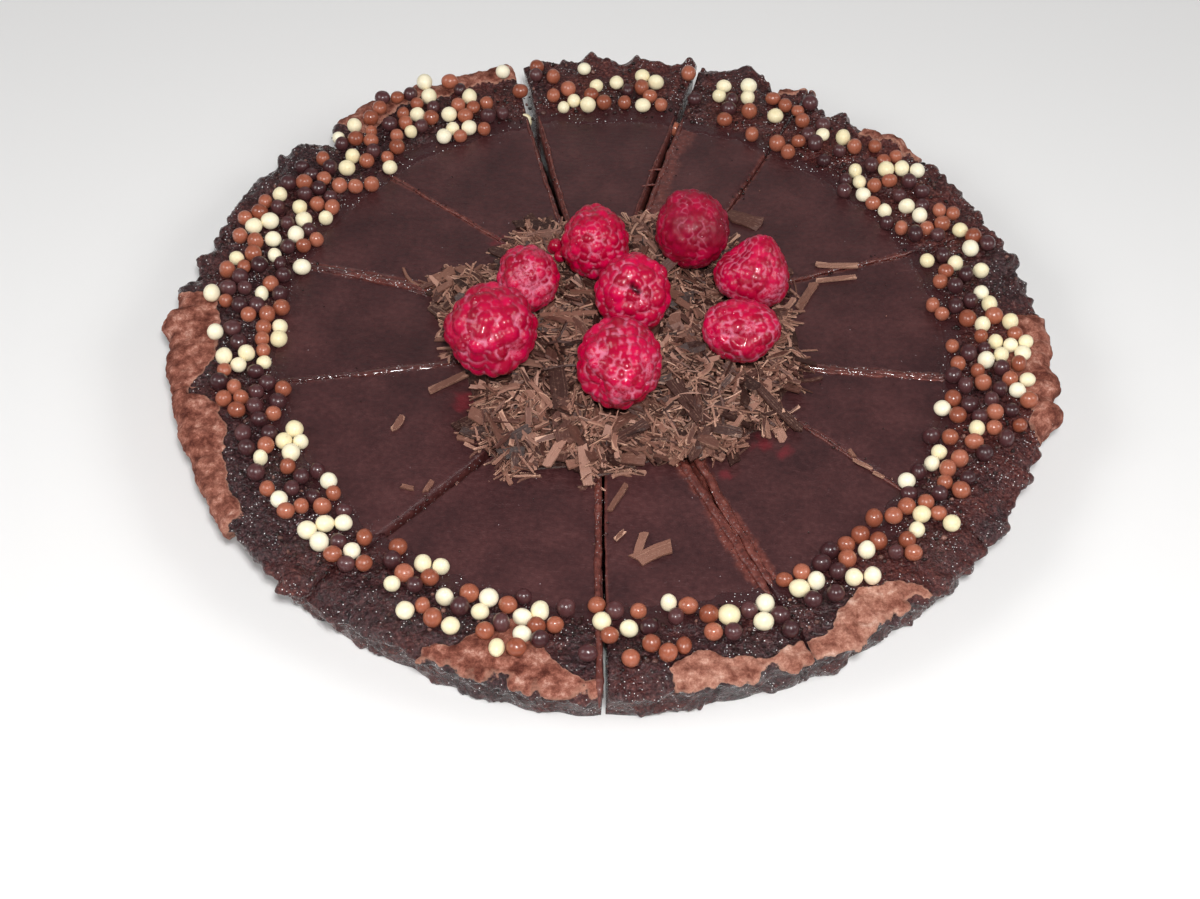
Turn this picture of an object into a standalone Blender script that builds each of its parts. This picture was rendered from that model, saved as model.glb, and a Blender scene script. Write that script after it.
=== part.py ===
"""A round chocolate tart, cut into twelve slices that still stand together.

Each slice is two solids: a dark crumb crust (floor and fluted rim) and the ganache
that fills it. A heap of chocolate shavings lies over the middle, and eight
raspberries sit in the heap. The origin is on the underside, below the middle of
the tart, with +Z up.
"""
import math

import bmesh
import bpy
from mathutils import Euler, Vector

MM = 0.001

# Driving dimensions, in millimetres.
RIM_RADIUS = 119.4
RIM_HEIGHT = 20.0
FOOT_RADIUS = 110.6
FLOOR_THICKNESS = 6.0
RIM_BAND = 24.0
RIM_INNER_HEIGHT = 18.6
RIM_INNER_LEAN = 6.5
GLAZE_HEIGHT = 18.0
TIP_RADIUS = 2.6
TOUCH_GAP = 0.34
FILLING_STATIONS = 9

# The fluted tin leaves its scallops on the outer wall.
FLUTES = 54
FLUTE_DEPTH = 1.5
FLUTE_PHASE = 4.64
FLUTE_FULLNESS = 0.6
STATIONS_PER_FLUTE = 4
STATION_MARGIN = 0.02

# Knife cuts: the angle where each leaves the rim, the angle where it comes out from
# under the shavings (both in degrees, from +X towards +Y), and the gap in mm at each.
CUTS = [
    (23.5, 27.0, 0.5, 0.5),
    (61.5, 57.2, 0.8, 0.7),
    (78.4, 82.6, 1.7, 1.9),
    (105.9, 108.4, 3.7, 1.4),
    (138.7, 132.1, 0.5, 0.5),
    (165.7, 162.0, 0.5, 0.5),
    (192.6, 194.3, 0.5, 0.5),
    (230.9, 234.3, 0.8, 1.3),
    (270.6, 268.5, 1.1, 0.8),
    (296.1, 296.1, 0.8, 1.8),
    (325.1, 332.4, 0.6, 0.5),
    (354.4, 350.7, 0.5, 0.5),
]
CUT_RIM_RADIUS = 120.0
CUT_HEAP_RADIUS = 50.0
CUT_BEND_RADIUS = 44.0
CUT_SIDE_RADII = [14.0, 27.0, 40.0, 56.0, 74.0]
TIP_GAP = 0.4
SLICE_COUNT = len(CUTS)
FIRST_TIP_ANGLE = 20.0

# Where the rim swells out or has crumbled: middle angle, half width in degrees, mm.
RIM_SWELLS = [
    (33.0, 4.0, 2.0),
    (47.0, 8.0, -1.6),
    (57.5, 2.5, -2.8),
    (71.0, 5.0, 3.0),
    (92.0, 8.0, 1.5),
    (122.0, 6.0, -1.6),
    (139.0, 2.5, -3.2),
    (151.0, 8.0, 1.6),
    (176.0, 6.0, 0.7),
    (206.0, 9.0, -1.4),
    (242.0, 7.0, -1.5),
    (264.0, 7.0, 1.4),
    (287.0, 6.0, -1.2),
    (309.0, 8.0, -1.8),
    (336.0, 7.0, -1.7),
    (357.0, 5.0, -0.3),
]

# The shavings: a low heap with a ragged outline that reaches out between the berries.
# Direction in degrees, and radius of the heap's edge.
HEAP_RADIUS = 51.5
HEAP_OUTLINE = [
    (5.0, 52.0), (19.0, 51.0), (33.0, 54.5), (48.0, 54.5), (62.0, 47.0), (72.0, 43.5),
    (78.0, 48.5), (84.0, 47.0), (91.0, 43.0), (100.0, 41.5), (109.0, 42.0), (114.0, 48.0),
    (121.0, 49.5), (128.0, 46.5), (134.0, 47.0), (141.0, 42.5), (147.0, 40.5), (153.0, 50.0),
    (160.0, 54.5), (166.0, 50.5), (172.0, 46.5), (180.0, 45.0), (190.0, 43.5), (201.0, 43.0),
    (214.0, 45.0), (222.0, 48.0), (230.0, 54.5), (244.0, 55.5), (257.0, 48.5), (265.0, 52.0),
    (275.0, 48.0), (288.0, 45.5), (300.0, 49.0), (309.0, 53.0), (318.0, 50.5), (326.0, 54.5),
    (335.0, 51.0), (350.0, 53.0),
]
HEAP_EDGE_THICKNESS = 0.9
HEAP_CROWN = 5.0
HEAP_CROWN_FULLNESS = 0.7
HEAP_LUMP = 0.7
HEAP_LUMP_LENGTH = 21.0
HEAP_SECTORS = 60
HEAP_RINGS = [0.10, 0.22, 0.34, 0.46, 0.58, 0.70, 0.81, 0.91, 1.0]
HEAP_CLEARANCE = 0.6
HEAP_MIN_THICKNESS = 0.6

# Raspberries: x, y, width, depth and height in mm, then the lean from upright and its
# heading in degrees, and how much the berry narrows towards its tip.
RASPBERRIES = [
    (-32.4, -12.3, 25.2, 26.6, 24.6, 14.0, 250.0, 0.10),
    (-23.7, 10.8, 17.4, 19.4, 17.8, 24.0, 300.0, 0.14),
    (-5.9, 24.8, 19.0, 22.0, 20.0, 28.0, 255.0, 0.16),
    (4.8, 5.0, 21.0, 22.0, 21.4, 12.0, 120.0, 0.08),
    (1.8, -22.6, 22.4, 26.0, 21.6, 52.0, 285.0, 0.24),
    (21.1, 30.4, 20.8, 22.0, 21.2, 18.0, 205.0, 0.10),
    (37.2, 14.4, 21.0, 19.6, 20.4, 22.0, 60.0, 0.26),
    (34.1, -6.8, 21.2, 18.4, 17.2, 70.0, 10.0, 0.12),
]
RASPBERRY_SINK_HEIGHT = GLAZE_HEIGHT + 2.9
DRUPELET_RELIEF = 0.09

CRUST_COLOR = (0.060, 0.030, 0.026, 1.0)
GANACHE_COLOR = (0.070, 0.036, 0.035, 1.0)
SHAVINGS_COLOR = (0.130, 0.072, 0.058, 1.0)
RASPBERRY_COLOR = (0.480, 0.020, 0.050, 1.0)


def clear_scene():
    for item in list(bpy.data.objects):
        bpy.data.objects.remove(item, do_unlink=True)


def make_material(name, color, roughness):
    material = bpy.data.materials.new(name)
    material.use_nodes = True
    shader = material.node_tree.nodes["Principled BSDF"]
    shader.inputs["Base Color"].default_value = color
    shader.inputs["Roughness"].default_value = roughness
    shader.inputs["Metallic"].default_value = 0.0
    return material


def add_solid(name, mesh_builder, material, parent, smooth=False):
    """Turn a bmesh built in millimetres into one object with outward faces."""
    bmesh.ops.recalc_face_normals(mesh_builder, faces=mesh_builder.faces)
    bmesh.ops.triangulate(mesh_builder, faces=mesh_builder.faces)
    bmesh.ops.scale(mesh_builder, vec=(MM, MM, MM), verts=mesh_builder.verts)
    mesh = bpy.data.meshes.new(name)
    mesh_builder.to_mesh(mesh)
    mesh_builder.free()
    mesh.materials.append(material)
    if smooth:
        mesh.shade_smooth()
    solid = bpy.data.objects.new(name, mesh)
    solid.parent = parent
    bpy.context.scene.collection.objects.link(solid)
    return solid


def polar(radius, degrees, height):
    angle = math.radians(degrees)
    return Vector((radius * math.cos(angle), radius * math.sin(angle), height))


def angle_between(first, second):
    """Smallest difference between two directions, in degrees."""
    return abs((first - second + 180.0) % 360.0 - 180.0)


def bell(distance, half_width):
    return math.exp(-((distance / half_width) ** 2))


# Cuts


def cut_angle(index, radius):
    """Direction of a cut at a radius: straight, but passing the middle by a little."""
    rim_angle, heap_angle, _, _ = CUTS[index % SLICE_COUNT]
    slope = (heap_angle - rim_angle) / (1.0 / CUT_HEAP_RADIUS - 1.0 / CUT_RIM_RADIUS)
    outer_radius = max(radius, CUT_BEND_RADIUS)
    angle = rim_angle + slope * (1.0 / outer_radius - 1.0 / CUT_RIM_RADIUS)
    if radius < CUT_BEND_RADIUS:
        tip_angle = FIRST_TIP_ANGLE + (index % SLICE_COUNT) * 360.0 / SLICE_COUNT
        inward = 1.0 - radius / CUT_BEND_RADIUS
        angle += (tip_angle - angle) * inward * inward * (3.0 - 2.0 * inward)
    return angle + 360.0 * (index // SLICE_COUNT)


def cut_gap(index, radius):
    """Width of a cut at a radius, in millimetres."""
    _, _, rim_gap, heap_gap = CUTS[index % SLICE_COUNT]
    if radius >= CUT_HEAP_RADIUS:
        share = (radius - CUT_HEAP_RADIUS) / (CUT_RIM_RADIUS - CUT_HEAP_RADIUS)
        return heap_gap + (rim_gap - heap_gap) * share
    return TIP_GAP + (heap_gap - TIP_GAP) * radius / CUT_HEAP_RADIUS


def slice_angle(index, radius, share):
    """Direction at a share of the way across slice number index."""
    half_start = math.degrees(math.asin(0.5 * cut_gap(index, radius) / radius))
    half_end = math.degrees(math.asin(0.5 * cut_gap(index + 1, radius) / radius))
    start = cut_angle(index, radius) + half_start
    end = cut_angle(index + 1, radius) - half_end
    return start + (end - start) * share


# Crust


def flute(degrees):
    """0 in the notch between two scallops, 1 on the crown of a scallop."""
    turn = (degrees - FLUTE_PHASE) * FLUTES / 360.0
    return abs(math.sin(math.pi * turn)) ** FLUTE_FULLNESS


def rim_swell(degrees):
    return sum(
        amount * bell(angle_between(degrees, middle), half_width)
        for middle, half_width, amount in RIM_SWELLS
    )


def rim_wall_radius(height):
    """The inner wall of the rim leans in from its upper corner to the floor."""
    share = (RIM_INNER_HEIGHT - height) / (RIM_INNER_HEIGHT - FLOOR_THICKNESS)
    return RIM_RADIUS - RIM_BAND - RIM_INNER_LEAN * share


def crust_profile():
    """Section of the crust from the foot over the rim to the inner corner.

    Each entry is radius, height, share of the flutes and share of the rim's swells.
    """
    return [
        (FOOT_RADIUS - 1.6, 0.0, 0.8, 0.45),
        (FOOT_RADIUS, 1.7, 0.9, 0.5),
        (FOOT_RADIUS + 5.4, 10.0, 1.0, 0.75),
        (RIM_RADIUS, 17.0, 1.0, 1.0),
        (RIM_RADIUS - 3.0, 19.3, 0.5, 0.7),
        (RIM_RADIUS - 13.0, RIM_HEIGHT, 0.0, 0.0),
        (rim_wall_radius(RIM_INNER_HEIGHT), RIM_INNER_HEIGHT, 0.0, 0.0),
        (rim_wall_radius(FLOOR_THICKNESS), FLOOR_THICKNESS, 0.0, 0.0),
    ]


def flute_stations(index):
    """Shares across a slice that catch every notch and crown of its scallops."""
    start = slice_angle(index, RIM_RADIUS, 0.0)
    end = slice_angle(index, RIM_RADIUS, 1.0)
    step = 360.0 / (FLUTES * STATIONS_PER_FLUTE)
    shares = [0.0]
    number = math.ceil((start - FLUTE_PHASE) / step)
    while FLUTE_PHASE + number * step < end:
        share = (FLUTE_PHASE + number * step - start) / (end - start)
        if STATION_MARGIN < share < 1.0 - STATION_MARGIN:
            shares.append(share)
        number += 1
    shares.append(1.0)
    return shares


def crust_point(index, share, entry):
    radius, height, flute_share, swell_share = entry
    degrees = slice_angle(index, radius, share)
    depth = FLUTE_DEPTH * flute_share * (flute(degrees) - 1.0)
    actual = radius + depth + swell_share * rim_swell(degrees)
    return polar(actual, slice_angle(index, actual, share), height)


def side_points(mesh_builder, index, share, height, radii):
    return [
        mesh_builder.verts.new(polar(radius, slice_angle(index, radius, share), height))
        for radius in radii
    ]


def bridge_rows(mesh_builder, lower, upper):
    for left in range(len(lower) - 1):
        mesh_builder.faces.new((lower[left], lower[left + 1], upper[left + 1], upper[left]))


def build_crust(index):
    """Crust of one slice: a flat floor and the fluted rim band, cut on both sides."""
    builder = bmesh.new()
    shares = flute_stations(index)
    rows = [
        [builder.verts.new(crust_point(index, share, entry)) for share in shares]
        for entry in crust_profile()
    ]
    for lower, upper in zip(rows, rows[1:]):
        bridge_rows(builder, lower, upper)
    radii = [TIP_RADIUS] + CUT_SIDE_RADII
    bottoms = []
    floors = []
    for share in (0.0, 1.0):
        bottoms.append(side_points(builder, index, share, 0.0, radii))
        floors.append(side_points(builder, index, share, FLOOR_THICKNESS, radii))
        corner = 0 if share == 0.0 else -1
        bridge_rows(builder, bottoms[-1] + [rows[0][corner]], floors[-1] + [rows[-1][corner]])
        builder.faces.new([row[corner] for row in rows])
    builder.faces.new(bottoms[0] + rows[0] + bottoms[1][::-1])
    builder.faces.new(floors[0] + rows[-1] + floors[1][::-1])
    builder.faces.new((bottoms[0][0], bottoms[1][0], floors[1][0], floors[0][0]))
    return builder


# Filling


def build_filling(index):
    """Ganache of one slice, a hair clear of the crust on its floor and its rim."""
    builder = bmesh.new()
    shares = [step / (FILLING_STATIONS - 1) for step in range(FILLING_STATIONS)]
    radii = [TIP_RADIUS] + CUT_SIDE_RADII
    arcs = []
    loops = []
    for height in (FLOOR_THICKNESS + TOUCH_GAP, GLAZE_HEIGHT):
        radius = rim_wall_radius(height) - TOUCH_GAP
        arcs.append([
            builder.verts.new(polar(radius, slice_angle(index, radius, share), height))
            for share in shares
        ])
        start = side_points(builder, index, 0.0, height, radii)
        end = side_points(builder, index, 1.0, height, radii)
        loops.append((start, end))
        builder.faces.new(start + arcs[-1] + end[::-1])
    bridge_rows(builder, arcs[0], arcs[1])
    for side, corner in ((0, 0), (1, -1)):
        lower = loops[0][side] + [arcs[0][corner]]
        upper = loops[1][side] + [arcs[1][corner]]
        bridge_rows(builder, lower, upper)
    builder.faces.new((loops[0][0][0], loops[0][1][0], loops[1][1][0], loops[1][0][0]))
    return builder


# Raspberries


def raspberry_turn(lean, heading):
    """Rotation that leans an upright berry towards a heading."""
    return (
        Euler((0.0, 0.0, math.radians(heading))).to_matrix()
        @ Euler((0.0, math.radians(lean), 0.0)).to_matrix()
        @ Euler((0.0, 0.0, math.radians(-heading))).to_matrix()
    )


def rounded_key(point):
    return tuple(round(part, 4) for part in point)


def raspberry_points(berry):
    """A blunt cone of drupelets: the vertices of a coarse sphere stand out as beads."""
    x, y, width, depth, height, lean, heading, narrowing = berry
    coarse = bmesh.new()
    bmesh.ops.create_icosphere(coarse, subdivisions=2, radius=1.0)
    beads = {rounded_key(vert.co) for vert in coarse.verts}
    coarse.free()
    fine = bmesh.new()
    bmesh.ops.create_icosphere(fine, subdivisions=3, radius=1.0)
    turn = raspberry_turn(lean, heading)
    for vert in fine.verts:
        point = vert.co.copy()
        if rounded_key(point) not in beads:
            point *= 1.0 - DRUPELET_RELIEF
        taper = 1.0 - narrowing * point.z
        vert.co = turn @ Vector((point.x * taper, point.y * taper, point.z))
    sides = (width, depth, height)
    lowest = (x - width / 2.0, y - depth / 2.0, RASPBERRY_SINK_HEIGHT)
    for axis in range(3):
        low = min(vert.co[axis] for vert in fine.verts)
        high = max(vert.co[axis] for vert in fine.verts)
        for vert in fine.verts:
            share = (vert.co[axis] - low) / (high - low)
            vert.co[axis] = lowest[axis] + share * sides[axis]
    return fine


# Shavings


def heap_outline(degrees):
    """Radius of the heap's edge in a direction, between the points of its outline."""
    degrees %= 360.0
    turns = [turn for turn, _ in HEAP_OUTLINE]
    after = next((index for index, turn in enumerate(turns) if turn > degrees), 0)
    start, near = HEAP_OUTLINE[after - 1]
    end, far = HEAP_OUTLINE[after]
    share = ((degrees - start) % 360.0) / ((end - start) % 360.0)
    return near + (far - near) * share


def heap_mound(x, y, share):
    """Thickness of the heap before the berries press into it."""
    wave = 2.0 * math.pi / HEAP_LUMP_LENGTH
    lumps = math.sin(wave * x + 1.0) * math.cos(wave * y) + 0.5 * math.sin(2.0 * wave * (x - y))
    crown = HEAP_CROWN * max(0.0, 1.0 - share**2) ** HEAP_CROWN_FULLNESS
    return HEAP_EDGE_THICKNESS + crown + HEAP_LUMP * lumps * (1.0 - share**4)


def berry_limit(x, y, reach, bead_points):
    """Highest the heap may be at a point, to stay under every bead near it."""
    near = [
        bead.z for bead in bead_points if math.hypot(bead.x - x, bead.y - y) < reach
    ]
    return min(near, default=math.inf) - HEAP_CLEARANCE


def heap_top(x, y, share, reach, bead_points):
    base = GLAZE_HEIGHT + TOUCH_GAP
    height = base + heap_mound(x, y, share)
    height = min(height, berry_limit(x, y, reach, bead_points))
    return max(height, base + HEAP_MIN_THICKNESS)


def build_shavings(bead_points):
    """One low solid out to the uneven outline of the heap, hollowed under each berry."""
    builder = bmesh.new()
    base = GLAZE_HEIGHT + TOUCH_GAP
    step = 360.0 / HEAP_SECTORS
    rings = []
    previous = 0.0
    for share in HEAP_RINGS:
        ring = []
        for sector in range(HEAP_SECTORS):
            degrees = step * (sector + 0.5 * (len(rings) % 2))
            radius = share * heap_outline(degrees)
            cell = max((share - previous) * HEAP_RADIUS, radius * math.radians(step))
            point = polar(radius, degrees, 0.0)
            point.z = heap_top(point.x, point.y, share, cell, bead_points)
            ring.append(builder.verts.new(point))
        rings.append(ring)
        previous = share
    skirt = [builder.verts.new((vert.co.x, vert.co.y, base)) for vert in rings[-1]]
    rings.append(skirt)
    builder.faces.new(rings[0])
    for inner, outer in zip(rings, rings[1:]):
        bridge_rows(builder, inner + inner[:1], outer + outer[:1])
    builder.faces.new(skirt)
    return builder


def build_tart():
    clear_scene()
    tart = bpy.data.objects.new("tart", None)
    bpy.context.scene.collection.objects.link(tart)
    crust_material = make_material("cocoa_crumb_crust", CRUST_COLOR, 0.6)
    ganache_material = make_material("dark_ganache", GANACHE_COLOR, 0.35)
    shavings_material = make_material("dark_chocolate_shavings", SHAVINGS_COLOR, 0.55)
    berry_material = make_material("raspberry", RASPBERRY_COLOR, 0.4)
    for index in range(SLICE_COUNT):
        label = f"{index + 1:02d}"
        add_solid(f"crust_{label}", build_crust(index), crust_material, tart)
        add_solid(f"filling_{label}", build_filling(index), ganache_material, tart)
    bead_points = []
    for number, berry in enumerate(RASPBERRIES, start=1):
        builder = raspberry_points(berry)
        bead_points += [vert.co.copy() for vert in builder.verts]
        add_solid(f"raspberry_{number}", builder, berry_material, tart, smooth=True)
    add_solid("chocolate_shavings", build_shavings(bead_points), shavings_material, tart)


build_tart()
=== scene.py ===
"""Looks of a round chocolate tart: cocoa crust, ganache, raspberries, shavings and pearls.

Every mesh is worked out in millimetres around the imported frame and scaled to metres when
it is made. Directions are measured from +X towards +Y.
"""
import itertools
import math

import bmesh
import bpy
import numpy as np
from mathutils import Euler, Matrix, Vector
from mathutils.bvhtree import BVHTree


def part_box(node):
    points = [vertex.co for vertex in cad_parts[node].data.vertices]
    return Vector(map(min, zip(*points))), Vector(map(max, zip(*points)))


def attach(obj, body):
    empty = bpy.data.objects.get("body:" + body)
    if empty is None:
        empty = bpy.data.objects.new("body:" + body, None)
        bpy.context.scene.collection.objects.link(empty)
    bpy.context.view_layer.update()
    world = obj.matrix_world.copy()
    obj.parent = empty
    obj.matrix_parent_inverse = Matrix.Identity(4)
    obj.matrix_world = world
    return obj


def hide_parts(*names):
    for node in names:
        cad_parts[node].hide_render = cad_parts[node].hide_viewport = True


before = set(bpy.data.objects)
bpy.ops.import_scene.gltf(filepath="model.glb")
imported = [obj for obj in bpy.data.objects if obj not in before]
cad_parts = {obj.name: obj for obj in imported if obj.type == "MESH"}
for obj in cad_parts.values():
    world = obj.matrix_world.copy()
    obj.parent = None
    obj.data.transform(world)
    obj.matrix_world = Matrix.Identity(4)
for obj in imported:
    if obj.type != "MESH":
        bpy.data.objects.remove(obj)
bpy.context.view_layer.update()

MM = 0.001
TURN = 2.0 * math.pi
SEED = 1208
rng = np.random.default_rng(SEED)

# ---------------------------------------------------------------------------
# The frame, read in millimetres
# ---------------------------------------------------------------------------

SLICES = sum(name.startswith("crust_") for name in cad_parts)
BERRIES = sum(name.startswith("raspberry_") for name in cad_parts)
GLAZE_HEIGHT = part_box("filling_01")[1].z / MM
FILLING_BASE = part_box("filling_01")[0].z / MM
RIM_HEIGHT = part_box("crust_01")[1].z / MM


def node_points(name):
    """Vertices of a CAD node, one row each."""
    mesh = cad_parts[name].data
    points = np.zeros(len(mesh.vertices) * 3, np.float32)
    mesh.vertices.foreach_get("co", points)
    return points.reshape(-1, 3).astype(float) / MM


def radius_of(points):
    return np.hypot(points[..., 0], points[..., 1])


def direction_of(points):
    return np.arctan2(points[..., 1], points[..., 0])


def read_cut_face(name, side):
    """Radius and direction along the cut face before (-1) or after (1) a slice."""
    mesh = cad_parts[name].data
    found = {}
    for face in mesh.polygons:
        around = Vector((-face.center.y, face.center.x, 0.0)).normalized()
        if side * face.normal.dot(around) > 0.8:
            for index in face.vertices:
                x, y, _ = mesh.vertices[index].co / MM
                found[round(math.hypot(x, y), 2)] = math.atan2(y, x)
    radii = np.array(sorted(found))
    return radii, np.unwrap([found[radius] for radius in radii])


def read_slice(number):
    name = f"crust_{number:02d}"
    before = read_cut_face(name, -1)
    radii, angles = read_cut_face(name, 1)
    angles = angles - TURN * np.floor((angles[-1] - before[1][-1]) / TURN)
    return {"number": number, "before": before, "after": (radii, angles)}


def direction_in(wedge, radius, share):
    """Direction at a share of the way across a slice, from its first cut to its last."""
    before = np.interp(radius, *wedge["before"])
    after = np.interp(radius, *wedge["after"])
    return before + (after - before) * share


def read_rim_rows():
    """Outline of the crust at each corner of its section, from the foot over the rim."""
    points = np.vstack([node_points(f"crust_{k:02d}") for k in range(1, SLICES + 1)])
    points = points[radius_of(points) > GLAZE_RADIUS]
    rows = []
    for height in np.unique(points[:, 2].round(1)):
        level = points[points[:, 2].round(1) == height]
        order = np.argsort(direction_of(level))
        rows.append({
            "height": height,
            "radius": float(np.median(radius_of(level))),
            "directions": direction_of(level)[order],
            "radii": radius_of(level)[order],
        })
    middle = rows[0]["radius"] - 8.0
    # Round the section from the foot, up the wall and over the top to the glaze.
    rows.sort(key=lambda row: (math.atan2(row["height"] - 8.0, row["radius"] - middle) + 2.0) % TURN)
    return rows


GLAZE_RADIUS = float(radius_of(node_points("filling_01")).max())
wedges = [read_slice(number) for number in range(1, SLICES + 1)]
rim_rows = read_rim_rows()
FILLING_FOOT_RADIUS = float(radius_of(node_points("filling_01"))[
    node_points("filling_01")[:, 2] < FILLING_BASE + 0.1
].max())
TIP_RADIUS = float(radius_of(node_points("filling_01")).min())
top_rows = rim_rows[::-1][:4]
GROUND_RADII = [0.0, GLAZE_RADIUS - 4.0] + [row["radius"] for row in top_rows]
GROUND_HEIGHTS = [GLAZE_HEIGHT, GLAZE_HEIGHT] + [row["height"] for row in top_rows]


def ground(radius):
    """Height of the tart's top at a distance from its middle, shavings left out."""
    return np.interp(radius, GROUND_RADII, GROUND_HEIGHTS)


def cut_direction(cut, radius):
    """Direction of the middle of a cut; cut 0 is the first side of slice 1."""
    own = direction_in(wedges[cut % SLICES], radius, 0.0)
    other = direction_in(wedges[(cut - 1) % SLICES], radius, 1.0)
    return own - 0.5 * ((own - other) % TURN)


# ---------------------------------------------------------------------------
# Shapes
# ---------------------------------------------------------------------------


def noise(points, size, seed=0):
    """Smooth random values from -1 to 1 whose lumps are about one size across."""
    scaled = np.asarray(points, float) / size
    cell = np.floor(scaled)
    near = scaled - cell
    near = near * near * (3.0 - 2.0 * near)
    cell = cell.astype(np.int64)
    total = np.zeros(cell.shape[:-1])
    for corner in itertools.product((0, 1), repeat=3):
        key = (cell + corner) @ np.array([73856093, 19349663, 83492791])
        key = (key + (SEED + seed) * 2654435761) & 0xFFFFFFFF
        key = ((key ^ (key >> 15)) * 2246822519) & 0xFFFFFFFF
        key = ((key ^ (key >> 13)) * 3266489917) & 0xFFFFFFFF
        value = (key >> 16) / 32767.5 - 1.0
        total += value * np.prod(np.where(corner, near, 1.0 - near), axis=-1)
    return total


def smooth_step(value):
    value = np.clip(value, 0.0, 1.0)
    return value * value * (3.0 - 2.0 * value)


def polar(radius, direction, height):
    radius, direction, height = np.broadcast_arrays(radius, direction, height)
    return np.stack([radius * np.cos(direction), radius * np.sin(direction), height], -1)


def make_piece(name, points, faces, material, replaces=(), values=None, smooth=True):
    """A mesh object from points in millimetres, with values for every point, on the tart."""
    mesh = bpy.data.meshes.new(name)
    mesh.from_pydata((np.asarray(points) * MM).tolist(), [], faces)
    mesh.shade_smooth() if smooth else mesh.shade_flat()
    for label, value in (values or {}).items():
        layer = mesh.attributes.new(label, "FLOAT", "POINT")
        layer.data.foreach_set("value", np.asarray(value, np.float32).ravel())
    mesh.materials.append(material)
    piece = bpy.data.objects.new(name, mesh)
    bpy.context.scene.collection.objects.link(piece)
    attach(piece, "root")
    if replaces:
        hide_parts(*replaces)
    return piece


def skin_faces(rings, stations):
    """Faces of a solid whose closed rings of points are joined station by station."""
    ring, station = np.meshgrid(np.arange(rings), np.arange(stations - 1), indexing="ij")
    after = (ring + 1) % rings
    quads = np.stack([
        ring * stations + station,
        ring * stations + station + 1,
        after * stations + station + 1,
        after * stations + station,
    ], -1).reshape(-1, 4).tolist()
    first_cap = [ring_index * stations for ring_index in range(rings)]
    last_cap = [index + stations - 1 for index in reversed(first_cap)]
    return quads + [first_cap, last_cap]


def copied_faces(count, pattern, stride):
    """Faces of many copies of one small shape, joined into one mesh."""
    shifts = (np.arange(count) * stride)[:, None, None]
    return (np.asarray(pattern)[None] + shifts).reshape(-1, len(pattern[0])).tolist()


def ball(subdivisions):
    """Points and triangles of a ball of radius 1."""
    builder = bmesh.new()
    bmesh.ops.create_icosphere(builder, subdivisions=subdivisions, radius=1.0)
    points = np.array([vert.co for vert in builder.verts])
    faces = [[vert.index for vert in face.verts] for face in builder.faces]
    builder.free()
    return points, faces


def rounded_blend(corners, count):
    """How much of each corner a point takes, at even steps along a rounded-off section."""
    corners = np.asarray(corners, float)
    blend = np.eye(len(corners))
    for _ in range(2):
        near = 0.75 * blend[:-1] + 0.25 * blend[1:]
        far = 0.25 * blend[:-1] + 0.75 * blend[1:]
        cut = np.stack([near, far], 1).reshape(-1, len(corners))
        blend = np.vstack([blend[:1], cut[1:-1], blend[-1:]])
    steps = np.linalg.norm(np.diff(blend @ corners, axis=0), axis=1)
    along = np.concatenate([[0.0], np.cumsum(steps)])
    even = np.linspace(0.0, along[-1], count)
    return np.stack([np.interp(even, along, column) for column in blend.T], -1)


class Resting:
    """Height of the top of some pieces above any point, or of the glaze beside them."""

    def __init__(self, pieces):
        corners, faces = [], []
        for piece in pieces:
            shift = len(corners)
            corners += [vert.co / MM for vert in piece.data.vertices]
            faces += [[corner + shift for corner in face.vertices] for face in piece.data.polygons]
        self.tree = BVHTree.FromPolygons(corners, faces)

    def __call__(self, x, y):
        hit = self.tree.ray_cast(Vector((x, y, 60.0)), Vector((0.0, 0.0, -1.0)))[0]
        return hit.z if hit is not None else float(ground(math.hypot(x, y)))


# ---------------------------------------------------------------------------
# Materials
# ---------------------------------------------------------------------------

MIX_A, MIX_B, MIX_OUT = 6, 7, 2


def linear(code):
    """sRGB hex to the linear colour that the shaders take."""
    parts = [int(code[start:start + 2], 16) / 255.0 for start in (1, 3, 5)]
    return tuple(
        part / 12.92 if part <= 0.04045 else ((part + 0.055) / 1.055) ** 2.4 for part in parts
    ) + (1.0,)


def per_mm(size):
    """Texture scale whose features are one size (mm) across, on coordinates in metres."""
    return 1.0 / (size * MM)


def add_node(tree, kind, sockets=None, stops=None, **settings):
    """Add a node: its settings, its ramp's colours, and a value or link for each socket."""
    made = tree.nodes.new("ShaderNode" + kind)
    for name, value in settings.items():
        setattr(made, name, value)
    if stops:
        elements = made.color_ramp.elements
        while len(elements) < len(stops):
            elements.new(0.5)
        for element, (place, color) in zip(elements, stops):
            element.position = place
            element.color = linear(color)
    for name, value in (sockets or {}).items():
        if isinstance(value, bpy.types.NodeSocket):
            tree.links.new(value, made.inputs[name])
        else:
            made.inputs[name].default_value = value
    return made


def start_material(name, **shader_values):
    """A Principled material with its shader's fixed values; gives tree, shader and place."""
    material = bpy.data.materials.new(name)
    material.use_nodes = True
    tree = material.node_tree
    shader = tree.nodes["Principled BSDF"]
    for socket, value in shader_values.items():
        shader.inputs[socket.replace("_", " ")].default_value = value
    place = add_node(tree, "TexCoord").outputs["Object"]
    return material, tree, shader, place


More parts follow.
